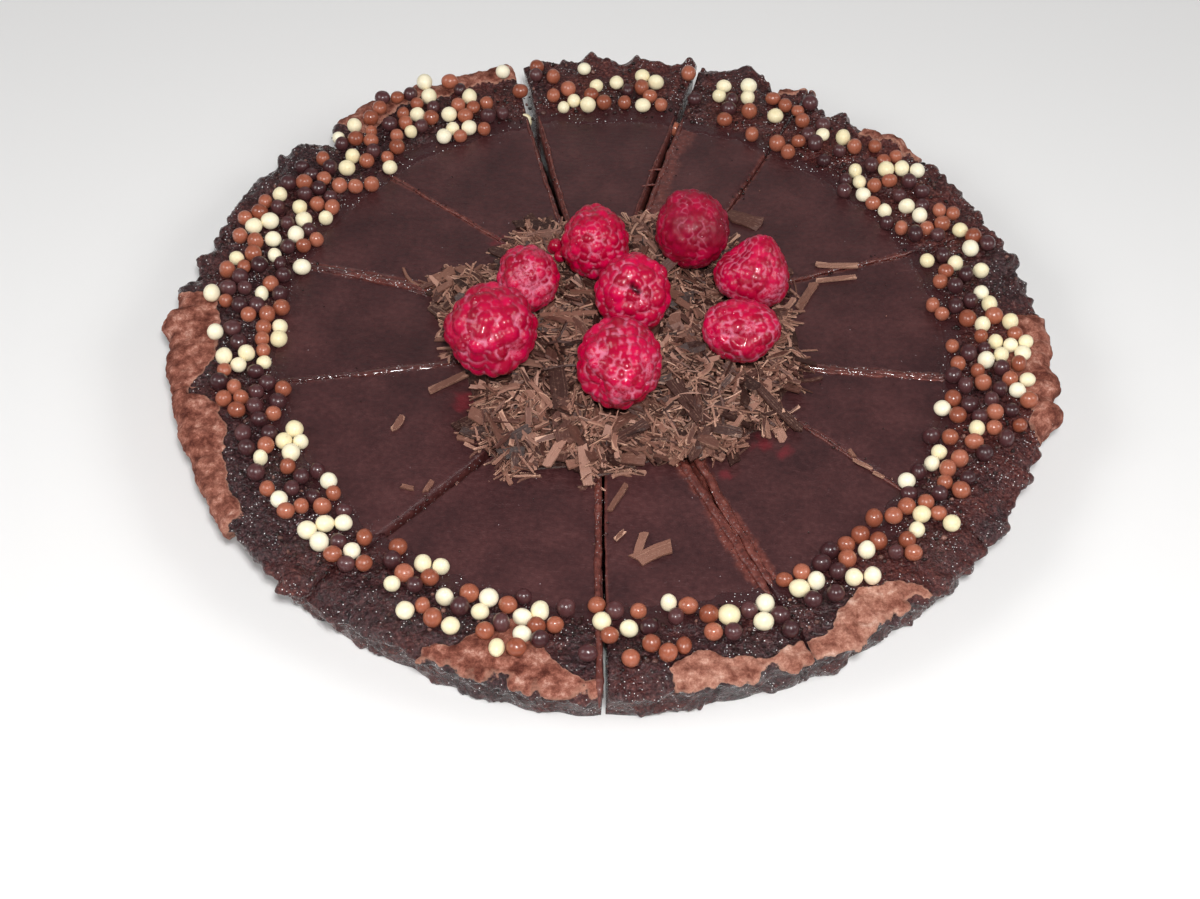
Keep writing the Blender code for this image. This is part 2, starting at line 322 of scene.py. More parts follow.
def add_painted_glints(tree, place, ground_color, apart, size, share, code, gathered=0.0):
    """Paint tiny glints into a colour as bright dots, painted highlights: distance and radius in mm, share that
    show.

    They can be gathered into patches a few times wider than the distance between them.
    """
    cells = add_node(tree, "TexVoronoi", {"Vector": place, "Scale": per_mm(apart)}, feature="F1")
    close = add_node(tree, "MapRange", {
        "Value": cells.outputs["Distance"], "From Min": 0.5 * size / apart, "From Max": size / apart,
        "To Min": 1.0, "To Max": 0.0,
    })
    patches = add_node(tree, "TexNoise", {"Vector": place, "Scale": per_mm(7.0 * apart), "Detail": 2.0})
    chance = add_node(
        tree, "Math", {0: patches.outputs["Fac"], 1: gathered, 2: cells.outputs["Color"]},
        operation="MULTIPLY_ADD",
    )
    limit = 1.0 - share + 0.5 * gathered
    picked = add_node(tree, "MapRange", {
        "Value": chance.outputs[0], "From Min": limit, "From Max": limit + 0.02,
    })
    glint = add_node(tree, "Math", {0: close.outputs["Result"], 1: picked.outputs["Result"]},
                     operation="MULTIPLY")
    mixed = add_node(
        tree, "Mix", {0: glint.outputs[0], MIX_A: ground_color, MIX_B: linear(code)}, data_type="RGBA"
    )
    return mixed.outputs[MIX_OUT]


def cocoa_crust():
    """Cocoa biscuit crust, baked in a fluted tin and softened by the filling.

    The crumb is nearly black, moist and grainy, with a painted glint, a white dot, on many
    grains. Where the baked skin has stayed on it is paler, dry and velvety, mottled by the
    cocoa in it, with a pale broken edge and a few painted glints.
    """
    material, tree, shader, place = start_material(
        "cocoa_biscuit_crust", IOR=1.45, Specular_IOR_Level=0.16, Coat_Roughness=0.07, Coat_IOR=1.38,
    )
    skin = add_node(tree, "Attribute", attribute_name="skin").outputs["Fac"]
    tone = add_node(tree, "Attribute", attribute_name="skin_tone").outputs["Fac"]
    dry = add_node(tree, "Attribute", attribute_name="dry").outputs["Fac"]
    glazed = add_node(tree, "Attribute", attribute_name="glazed").outputs["Fac"]
    ragged = add_node(tree, "TexNoise", {"Vector": place, "Scale": per_mm(1.4), "Detail": 4.0})
    edge = add_node(tree, "Math", {0: ragged.outputs["Fac"], 1: 1.4, 2: skin}, operation="MULTIPLY_ADD")
    mask = add_node(
        tree, "MapRange", {"Value": edge.outputs[0], "From Min": 0.62, "From Max": 0.80}
    ).outputs["Result"]
    grain = add_node(tree, "TexNoise", {"Vector": place, "Scale": per_mm(1.0), "Detail": 6.0, "Roughness": 0.65})
    syrupy = add_node(tree, "ValToRGB", {"Fac": grain.outputs["Fac"]}, stops=[
        (0.30, "#14090b"), (0.45, "#2b1719"), (0.57, "#412427"), (0.68, "#60403f"), (0.80, "#9c7b76"),
    ])
    crumbly = add_node(tree, "ValToRGB", {"Fac": grain.outputs["Fac"]}, stops=[
        (0.30, "#260d0e"), (0.44, "#471f1e"), (0.57, "#5f312d"), (0.68, "#845044"), (0.80, "#bd8c7a"),
    ])
    baking = add_node(tree, "TexNoise", {"Vector": place, "Scale": per_mm(24.0), "Detail": 4.0})
    crusty = add_node(tree, "Math", {0: dry, 1: 0.26, 2: baking.outputs["Fac"]}, operation="MULTIPLY_ADD")
    dryness = add_node(
        tree, "MapRange", {"Value": crusty.outputs[0], "From Min": 0.50, "From Max": 0.78}
    ).outputs["Result"]
    bare = add_node(
        tree, "Mix", {0: dryness, MIX_A: syrupy.outputs[0], MIX_B: crumbly.outputs[0]}, data_type="RGBA"
    )
    # Painted glints: white dots 0.3 mm across and a millimetre or two apart, standing in for light on wet grains.
    smooth = add_node(
        tree, "Mix", {0: glazed, MIX_A: bare.outputs[MIX_OUT], MIX_B: linear("#3c2022")}, data_type="RGBA"
    )
    crumb = add_painted_glints(tree, place, smooth.outputs[MIX_OUT], 0.8, 0.18, 0.36, "#ffffff", 2.2)
    dust = add_node(tree, "TexNoise", {"Vector": place, "Scale": per_mm(4.2), "Detail": 8.0, "Roughness": 0.78})
    dark_skin = add_node(tree, "ValToRGB", {"Fac": dust.outputs["Fac"]}, stops=[
        (0.37, "#522720"), (0.45, "#733f33"), (0.52, "#925748"), (0.58, "#b07564"), (0.66, "#d2a898"),
    ])
    pale_skin = add_node(tree, "ValToRGB", {"Fac": dust.outputs["Fac"]}, stops=[
        (0.37, "#7a4536"), (0.45, "#a16857"), (0.52, "#be8672"), (0.58, "#d2a18d"), (0.66, "#e8c9b8"),
    ])
    baked = add_node(
        tree, "Mix", {0: tone, MIX_A: dark_skin.outputs[0], MIX_B: pale_skin.outputs[0]}, data_type="RGBA"
    )
    rim = add_node(
        tree, "MapRange",
        {"Value": edge.outputs[0], "From Min": 0.80, "From Max": 1.35, "To Min": 0.40, "To Max": 0.0},
    )
    broken = add_node(
        tree, "Mix", {0: rim.outputs["Result"], MIX_A: baked.outputs[MIX_OUT], MIX_B: linear("#cfa08a")},
        data_type="RGBA",
    )
    # Sparse pale dots on the skin are painted glints.
    skin_with_painted_glints = add_painted_glints(tree, place, broken.outputs[MIX_OUT], 1.0, 0.20, 0.07, "#e3c8bb")
    color = add_node(tree, "Mix", {0: mask, MIX_A: crumb, MIX_B: skin_with_painted_glints}, data_type="RGBA")
    damp = add_node(tree, "TexNoise", {"Vector": place, "Scale": per_mm(2.6), "Detail": 3.0})
    moist = add_node(
        tree, "MapRange",
        {"Value": damp.outputs["Fac"], "From Min": 0.38, "From Max": 0.62, "To Min": 0.14, "To Max": 0.42},
    )
    roughness = add_node(
        tree, "Mix", {0: mask, 2: moist.outputs["Result"], 3: 0.78}, data_type="FLOAT"
    )
    # Biscuit grains of 1 mm and pits of 0.5 mm, as coarse as they need to be to show.
    grains = add_node(tree, "TexVoronoi", {"Vector": place, "Scale": per_mm(1.0)}, feature="SMOOTH_F1")
    pits = add_node(tree, "TexNoise", {"Vector": place, "Scale": per_mm(0.5), "Detail": 3.0})
    pressed = add_node(tree, "Math", {0: grains.outputs["Distance"], 1: -0.8, 2: pits.outputs["Fac"]},
                       operation="MULTIPLY_ADD")
    crackle = add_node(tree, "TexNoise", {"Vector": place, "Scale": per_mm(1.6), "Detail": 8.0, "Roughness": 0.8})
    relief = add_node(tree, "Mix", {0: mask, 2: pressed.outputs[0], 3: crackle.outputs["Fac"]}, data_type="FLOAT")
    deep = add_node(tree, "MapRange", {"Value": glazed, "To Min": 0.9, "To Max": 0.35})
    bump = add_node(tree, "Bump", {
        "Height": relief.outputs[0], "Strength": deep.outputs["Result"], "Distance": 0.6 * MM,
    })
    # Syrup from the filling leaves a thin gloss on the bare crumb.
    bare_share = add_node(tree, "Math", {0: 1.0, 1: mask}, operation="SUBTRACT")
    syrup = add_node(tree, "MapRange", {"Value": dryness, "To Min": 1.0, "To Max": 0.6})
    gloss = add_node(tree, "Math", {0: bare_share.outputs[0], 1: syrup.outputs["Result"]},
                     operation="MULTIPLY")
    tree.links.new(gloss.outputs[0], shader.inputs["Coat Weight"])
    tree.links.new(bump.outputs["Normal"], shader.inputs["Coat Normal"])
    tree.links.new(color.outputs[MIX_OUT], shader.inputs["Base Color"])
    tree.links.new(roughness.outputs[0], shader.inputs["Roughness"])
    tree.links.new(bump.outputs["Normal"], shader.inputs["Normal"])
    return material


def dark_ganache():
    """Dark ganache poured into the crust, set, and smoothed with a palette knife.

    Its top is a soft satin brown with faint clouding. A knife drags it into redder, wetter
    smears along the cuts, and raspberry juice stains it next to the fruit.
    """
    material, tree, shader, place = start_material("dark_ganache", IOR=1.46, Coat_Roughness=0.06)
    smear = add_node(tree, "Attribute", attribute_name="smear").outputs["Fac"]
    wet = add_node(tree, "Attribute", attribute_name="wet").outputs["Fac"]
    juice = add_node(tree, "Attribute", attribute_name="juice").outputs["Fac"]
    cloud = add_node(tree, "TexNoise", {"Vector": place, "Scale": per_mm(16.0), "Detail": 6.0, "Roughness": 0.62})
    streak = add_node(tree, "TexNoise", {"Vector": place, "Scale": per_mm(1.5), "Detail": 4.0})
    clouded = add_node(tree, "Mix", {0: 0.35, 2: cloud.outputs["Fac"], 3: streak.outputs["Fac"]},
                       data_type="FLOAT")
    base = add_node(tree, "ValToRGB", {"Fac": clouded.outputs[0]}, stops=[
        (0.36, "#351a1c"), (0.50, "#432324"), (0.64, "#522e2e"),
    ])
    dragged = add_node(tree, "ValToRGB", {"Fac": streak.outputs["Fac"]}, stops=[
        (0.30, "#522822"), (0.52, "#72382f"), (0.72, "#8c5044"),
    ])
    cut = add_node(tree, "Mix", {0: smear, MIX_A: base.outputs[0], MIX_B: dragged.outputs[0]}, data_type="RGBA")
    stained = add_node(
        tree, "Mix", {0: juice, MIX_A: cut.outputs[MIX_OUT], MIX_B: linear("#6c2229")}, data_type="RGBA"
    )
    # Painted glints: pale specks of 0.15 mm, drawn larger, mixed into the colour.
    painted_glint_specks = add_painted_glints(tree, place, stained.outputs[MIX_OUT], 2.2, 0.17, 0.22, "#a8979b")
    satin = add_node(
        tree, "MapRange",
        {"Value": streak.outputs["Fac"], "From Min": 0.3, "From Max": 0.7, "To Min": 0.34, "To Max": 0.46},
    )
    roughness = add_node(tree, "Mix", {0: wet, 2: satin.outputs["Result"], 3: 0.10}, data_type="FLOAT")
    # The knife leaves shallow ripples about 1.5 mm apart along X; wet smears are lumpier.
    swept = add_node(tree, "Mapping", {"Vector": place, "Scale": (0.45, 1.0, 1.0)})
    fine = add_node(tree, "TexNoise", {
        "Vector": swept.outputs[0], "Scale": per_mm(1.2), "Detail": 4.0, "Roughness": 0.65,
    })
    depth = add_node(tree, "MapRange", {"Value": wet, "To Min": 0.7, "To Max": 1.0})
    bump = add_node(tree, "Bump", {
        "Height": fine.outputs["Fac"], "Strength": depth.outputs["Result"], "Distance": 0.45 * MM,
    })
    # Wet smears get more painted glints, white dots mixed into the colour.
    glinting = add_painted_glints(tree, place, painted_glint_specks, 0.7, 0.22, 0.40, "#f2ecee", 1.2)
    color = add_node(tree, "Mix", {0: wet, MIX_A: painted_glint_specks, MIX_B: glinting}, data_type="RGBA")
    tree.links.new(wet, shader.inputs["Coat Weight"])
    tree.links.new(color.outputs[MIX_OUT], shader.inputs["Base Color"])
    tree.links.new(roughness.outputs[0], shader.inputs["Roughness"])
    tree.links.new(bump.outputs["Normal"], shader.inputs["Normal"])
    return material


def raspberry_flesh():
    """Fresh raspberry: wet, glassy crimson drupelets with fine pale hairs in the grooves.

    The skin is thin and clear over juicy flesh, so light goes a little way in. Bloom and
    hairs turn the grooves and some patches pink and dull the gloss there.
    """
    material, tree, shader, place = start_material(
        "raspberry_flesh", IOR=1.38, Subsurface_Weight=0.18, Subsurface_Scale=0.0008,
        Coat_Roughness=0.07,
    )
    shader.inputs["Subsurface Radius"].default_value = (1.0, 0.22, 0.16)
    groove = add_node(tree, "Attribute", attribute_name="groove").outputs["Fac"]
    tint = add_node(tree, "Attribute", attribute_name="tint").outputs["Fac"]
    frost = add_node(tree, "Attribute", attribute_name="frost").outputs["Fac"]
    bruise = add_node(tree, "Attribute", attribute_name="bruise").outputs["Fac"]
    hollow_shade = add_node(tree, "Attribute", attribute_name="hollow_shade").outputs["Fac"]
    flesh = add_node(tree, "ValToRGB", {"Fac": tint}, stops=[
        (0.0, "#9c0028"), (0.5, "#b60037"), (1.0, "#ce0347"),
    ])
    dull = add_node(
        tree, "Mix", {0: bruise, MIX_A: flesh.outputs[0], MIX_B: linear("#6a0c22")}, data_type="RGBA"
    )
    # Hairs 0.2 mm thick, drawn as a broken web of lines.
    hairs = add_node(tree, "TexNoise", {"Vector": place, "Scale": per_mm(1.5), "Detail": 5.0, "Roughness": 0.6})
    off_line = add_node(tree, "Math", {0: hairs.outputs["Fac"], 1: 0.5}, operation="SUBTRACT")
    off_line = add_node(tree, "Math", {0: off_line.outputs[0]}, operation="ABSOLUTE")
    web = add_node(tree, "MapRange", {"Value": off_line.outputs[0], "From Max": 0.10, "To Min": 1.0, "To Max": 0.0})
    film = add_node(tree, "Math", {0: web.outputs["Result"], 1: 0.65, 2: 0.30}, operation="MULTIPLY_ADD")
    film = add_node(tree, "Math", {0: film.outputs[0], 1: frost}, operation="MULTIPLY")
    film = add_node(tree, "Math", {0: groove, 1: 1.0, 2: film.outputs[0]}, operation="MULTIPLY_ADD")
    cover = add_node(
        tree, "MapRange", {"Value": film.outputs[0], "From Min": 0.28, "From Max": 1.25, "To Max": 0.85}
    ).outputs["Result"]
    bloomed = add_node(
        tree, "Mix", {0: cover, MIX_A: dull.outputs[MIX_OUT], MIX_B: linear("#dd7c98")}, data_type="RGBA"
    )
    # Painted shade: deep tears turn near-black where shade falls in the hollow.
    torn = add_node(
        tree, "Mix", {0: hollow_shade, MIX_A: bloomed.outputs[MIX_OUT], MIX_B: linear("#1d0509")}, data_type="RGBA"
    )
    # Pale pink specks 0.2 mm across: bloom, and painted glints on it.
    color = add_painted_glints(tree, place, torn.outputs[MIX_OUT], 0.9, 0.17, 0.12, "#f0c4d0", 1.2)
    wilted = add_node(tree, "Math", {0: bruise, 1: 0.7, 2: cover}, operation="MULTIPLY_ADD")
    roughness = add_node(tree, "MapRange", {"Value": wilted.outputs[0], "To Min": 0.28, "To Max": 0.65})
    juicy = add_node(tree, "MapRange", {"Value": wilted.outputs[0], "From Max": 0.5, "To Min": 0.25, "To Max": 0.03})
    fine = add_node(tree, "TexNoise", {"Vector": place, "Scale": per_mm(1.6), "Detail": 2.0})
    bump = add_node(tree, "Bump", {"Height": fine.outputs["Fac"], "Strength": 0.3, "Distance": 0.10 * MM})
    tree.links.new(color, shader.inputs["Base Color"])
    tree.links.new(roughness.outputs["Result"], shader.inputs["Roughness"])
    tree.links.new(bump.outputs["Normal"], shader.inputs["Normal"])
    tree.links.new(bump.outputs["Normal"], shader.inputs["Coat Normal"])
    tree.links.new(juicy.outputs["Result"], shader.inputs["Coat Weight"])
    return material


def shaved_chocolate():
    """Dark chocolate shaved off a block: matt faces with plane lines, paler broken edges."""
    material, tree, shader, place = start_material("shaved_dark_chocolate", IOR=1.46)
    edge = add_node(tree, "Attribute", attribute_name="edge").outputs["Fac"]
    tint = add_node(tree, "Attribute", attribute_name="tint").outputs["Fac"]
    across = add_node(tree, "Attribute", attribute_name="across").outputs["Fac"]
    brittle = add_node(tree, "Attribute", attribute_name="brittle").outputs["Fac"]
    face = add_node(tree, "ValToRGB", {"Fac": tint}, stops=[
        (0.0, "#2e1611"), (0.35, "#56342c"), (0.7, "#845a4b"), (1.0, "#ae8271"),
    ])
    # The plane leaves lines about 0.4 mm apart along each shaving.
    lines = add_node(tree, "TexNoise", {"W": across, "Scale": 1.0 / 0.4, "Detail": 2.0}, noise_dimensions="1D")
    grain = add_node(tree, "TexNoise", {"Vector": place, "Scale": per_mm(0.8), "Detail": 5.0, "Roughness": 0.7})
    worn = add_node(tree, "Math", {0: lines.outputs["Fac"], 1: 0.6, 2: grain.outputs["Fac"]},
                    operation="MULTIPLY_ADD")
    chalky = add_node(
        tree, "MapRange", {"Value": worn.outputs[0], "From Min": 0.85, "From Max": 1.15, "To Max": 0.35}
    )
    # Only a thin line along a face turns pale, and on some shavings more than on others.
    line = add_node(tree, "Math", {0: edge, 1: 3.5}, operation="POWER")
    line = add_node(tree, "Math", {0: line.outputs[0], 1: brittle}, operation="MULTIPLY")
    broken = add_node(tree, "Math", {0: grain.outputs["Fac"], 1: 0.7, 2: line.outputs[0]},
                      operation="MULTIPLY_ADD")
    rim = add_node(
        tree, "MapRange", {"Value": broken.outputs[0], "From Min": 0.75, "From Max": 1.25, "To Max": 0.9}
    )
    pale = add_node(tree, "Math", {0: rim.outputs["Result"], 1: chalky.outputs["Result"]}, operation="MAXIMUM")
    color = add_node(
        tree, "Mix", {0: pale.outputs[0], MIX_A: face.outputs[0], MIX_B: linear("#d3a58d")},
        data_type="RGBA",
    )
    roughness = add_node(tree, "MapRange", {"Value": grain.outputs["Fac"], "To Min": 0.30, "To Max": 0.75})
    bump = add_node(tree, "Bump", {"Height": worn.outputs[0], "Strength": 0.8, "Distance": 0.2 * MM})
    tree.links.new(color.outputs[MIX_OUT], shader.inputs["Base Color"])
    tree.links.new(roughness.outputs["Result"], shader.inputs["Roughness"])
    tree.links.new(bump.outputs["Normal"], shader.inputs["Normal"])
    return material


def pearl_coating(name, shades, roughness, coat):
    """Crisp rice ball panned in chocolate and polished: smooth, with soft dimples."""
    material, tree, shader, place = start_material(
        name, IOR=1.46, Coat_Weight=coat, Coat_Roughness=0.10,
    )
    tint = add_node(tree, "Attribute", attribute_name="tint").outputs["Fac"]
    cloud = add_node(tree, "TexNoise", {"Vector": place, "Scale": per_mm(2.2), "Detail": 3.0})
    shade = add_node(tree, "Math", {0: cloud.outputs["Fac"], 1: 0.5, 2: tint}, operation="MULTIPLY_ADD")
    color = add_node(tree, "ValToRGB", {"Fac": shade.outputs[0]}, stops=shades)
    gloss = add_node(
        tree, "MapRange",
        {"Value": cloud.outputs["Fac"], "From Min": 0.3, "From Max": 0.7,
         "To Min": roughness - 0.06, "To Max": roughness + 0.08},
    )
    dimples = add_node(tree, "TexNoise", {"Vector": place, "Scale": per_mm(1.3), "Detail": 1.0})
    bump = add_node(tree, "Bump", {"Height": dimples.outputs["Fac"], "Strength": 0.25, "Distance": 0.2 * MM})
    tree.links.new(color.outputs[0], shader.inputs["Base Color"])
    tree.links.new(gloss.outputs["Result"], shader.inputs["Roughness"])
    tree.links.new(bump.outputs["Normal"], shader.inputs["Normal"])
    return material


def moist_crumbs():
    """Loose cocoa biscuit crumbs, dark with moisture, each with a wet glint."""
    material, tree, shader, place = start_material("moist_cocoa_crumbs", IOR=1.45)
    tint = add_node(tree, "Attribute", attribute_name="tint").outputs["Fac"]
    color = add_node(tree, "ValToRGB", {"Fac": tint}, stops=[
        (0.0, "#1e1211"), (0.5, "#3a2422"), (0.85, "#5d3f39"), (1.0, "#8a6257"),
    ])
    grain = add_node(tree, "TexNoise", {"Vector": place, "Scale": per_mm(0.5), "Detail": 3.0})
    wet = add_node(
        tree, "MapRange",
        {"Value": grain.outputs["Fac"], "From Min": 0.35, "From Max": 0.65, "To Min": 0.14, "To Max": 0.42},
    )
    bump = add_node(tree, "Bump", {"Height": grain.outputs["Fac"], "Strength": 0.8, "Distance": 0.2 * MM})
    tree.links.new(color.outputs[0], shader.inputs["Base Color"])
    tree.links.new(wet.outputs["Result"], shader.inputs["Roughness"])
    tree.links.new(bump.outputs["Normal"], shader.inputs["Normal"])
    return material


# ---------------------------------------------------------------------------
# Crust
# ---------------------------------------------------------------------------

CRUST_STEP = 0.5
TIP_ROUNDING = 1.6
# How far bare crumb can stand out or fall back, in mm.
CRUMB_LIFT = 1.9
# Crumb and syrup have spread from the crust's inner edge over the glaze, this far.
SPREAD_RADIUS = 91.4
SPREAD_HEIGHT = GLAZE_HEIGHT + 0.35

# How far the crumb stands out past the tin's outline at the rim's edge and at the foot,
# in mm, by direction in degrees. The front leans in, where its wall has crumbled.
WALL_LEAN = [
    (0.0, 1.2, 1.0), (45.0, 1.4, 0.5), (90.0, 1.6, 0.0), (135.0, 1.6, 0.5), (180.0, 1.0, 1.5),
    (214.0, 0.2, 4.0), (235.0, -0.8, 2.6), (262.0, -1.9, 1.6), (286.0, -1.9, 1.2),
    (300.0, -1.6, 3.2), (322.0, -0.4, 4.6), (340.0, 1.0, 2.0), (360.0, 1.2, 1.0),
]
# Chunks of crumb that stand out of the rim's edge: direction, how far, half width in mm.
RIM_LUMPS = [
    (17.6, 4.2, 2.4), (38.8, 2.4, 3.0), (45.4, 3.2, 3.6), (54.8, 1.8, 2.0), (61.2, 3.4, 3.4),
    (66.5, -2.2, 2.0), (71.2, 3.6, 5.0), (79.8, 2.6, 4.2), (87.5, 1.6, 4.2), (93.5, 2.2, 5.2),
    (122.0, 1.8, 4.0), (130.4, 1.8, 3.0), (138.6, -3.4, 2.6), (144.2, 2.2, 6.0), (168.0, 1.8, 1.6),
    (173.4, 1.8, 2.2), (180.4, 2.6, 4.0), (228.4, 2.0, 2.0), (337.2, 2.2, 2.4), (345.6, -1.8, 3.0),
    (349.2, 2.8, 2.6), (354.6, 1.6, 3.2),
]

# Where the baked skin has stayed on the rim: its inner edge (direction in degrees, radius),
# how far it reaches down from the rim's top, and how pale it is.
SKIN_PATCHES = [
    ([(175.5, 109.0), (183.0, 106.5), (188.0, 107.8), (190.5, 111.0), (193.9, 115.0), (195.2, 110.0),
      (197.5, 107.0), (203.0, 108.3), (206.0, 108.7)], 11.0, 0.10),
    ([(204.0, 108.5), (209.0, 110.5), (212.0, 111.8), (216.8, 112.3)], 6.0, 0.20),
    ([(248.0, 113.5), (250.6, 110.2), (252.8, 106.5), (254.8, 102.0), (257.0, 98.5), (259.6, 101.4),
      (263.7, 107.0), (266.6, 110.8), (270.2, 112.8)], 1.9, 0.06),
    ([(278.6, 110.0), (282.5, 105.6), (286.4, 109.2), (292.5, 111.5)], 2.0, 0.60),
    ([(287.0, 111.0), (294.9, 110.2), (298.6, 110.6), (302.5, 107.0), (307.0, 103.0), (310.5, 107.2),
      (314.0, 112.6)], 1.9, 0.68),
    ([(344.5, 117.4), (349.3, 111.3), (356.2, 107.0), (363.4, 110.2), (366.4, 112.0)], 8.0, 0.10),
    ([(40.8, 118.5), (43.9, 115.0), (47.0, 112.8), (50.2, 113.4)], 9.0, 0.12),
    ([(60.4, 118.5), (65.0, 117.0)], 5.0, 0.15),
    ([(105.8, 111.0), (112.0, 112.5), (118.0, 111.0), (126.0, 113.5), (133.0, 107.5), (135.4, 111.5)],
     9.0, 0.15),
]
SKIN_THICKNESS = 0.7
SKIN_OVERHANG = 2.2


def skin_reach(radius, direction, height):
    """How far inside a skin patch a point is (mm, below 0 outside), and the patch's tone."""
    degrees = np.degrees(direction)
    reach = np.full(degrees.shape, -30.0)
    tone = np.zeros(degrees.shape)
    for outline, drop, paleness in SKIN_PATCHES:
        turns, inner = np.array(outline).T
        turn = (degrees - turns[0] + 30.0) % 360.0 + turns[0] - 30.0
        along = np.radians(np.minimum(turn - turns[0], turns[-1] - turn)) * radius
        across = radius - np.interp(turn, turns, inner)
        inside = np.minimum(np.minimum(along, across), height - (RIM_HEIGHT - drop))
        tone = np.where(inside > reach, paleness, tone)
        reach = np.maximum(reach, inside)
    return reach, tone


def wall_lean(direction, share):
    """How far the wall stands out past the CAD, at a share of its height."""
    turns, top, foot = np.array(WALL_LEAN).T
    degrees = np.degrees(direction) % 360.0
    top, foot = np.interp(degrees, turns, top), np.interp(degrees, turns, foot)
    return foot + (top - foot) * share


def rim_lumps(direction, radius):
    total = np.zeros(direction.shape)
    for turn, size, width in RIM_LUMPS:
        away = (np.degrees(direction) - turn + 180.0) % 360.0 - 180.0
        total += size * np.exp(-((np.radians(away) * radius / width) ** 4))
    return total


def crumb_relief(place, on_wall, on_edge):
    """Lift of bare crumb: clumps on top, torn lumps at the rim's edge, ledges on the wall.

    Syrup has soaked the top and filled in its finest pits.
    """
    pits = 0.14 + 0.18 * np.maximum(on_wall, on_edge)
    grains = 0.70 * noise(place, 3.6, 3) + 0.36 * noise(place, 1.7, 4) + pits * noise(place, 0.9, 5)
    torn = 1.7 * noise(place, 5.2, 6) + 2.0 * np.maximum(noise(place, 2.3, 7), 0.0) - 0.5
    layered = place * [1.0, 1.0, 2.8]
    ledges = 1.5 * noise(layered, 6.5, 8) + 1.3 * np.abs(noise(layered, 3.0, 9)) - 1.5
    lift = grains + on_edge * torn + on_wall * (ledges + 0.4 * noise(layered, 1.3, 10))
    return CRUMB_LIFT * np.tanh(lift / CRUMB_LIFT)


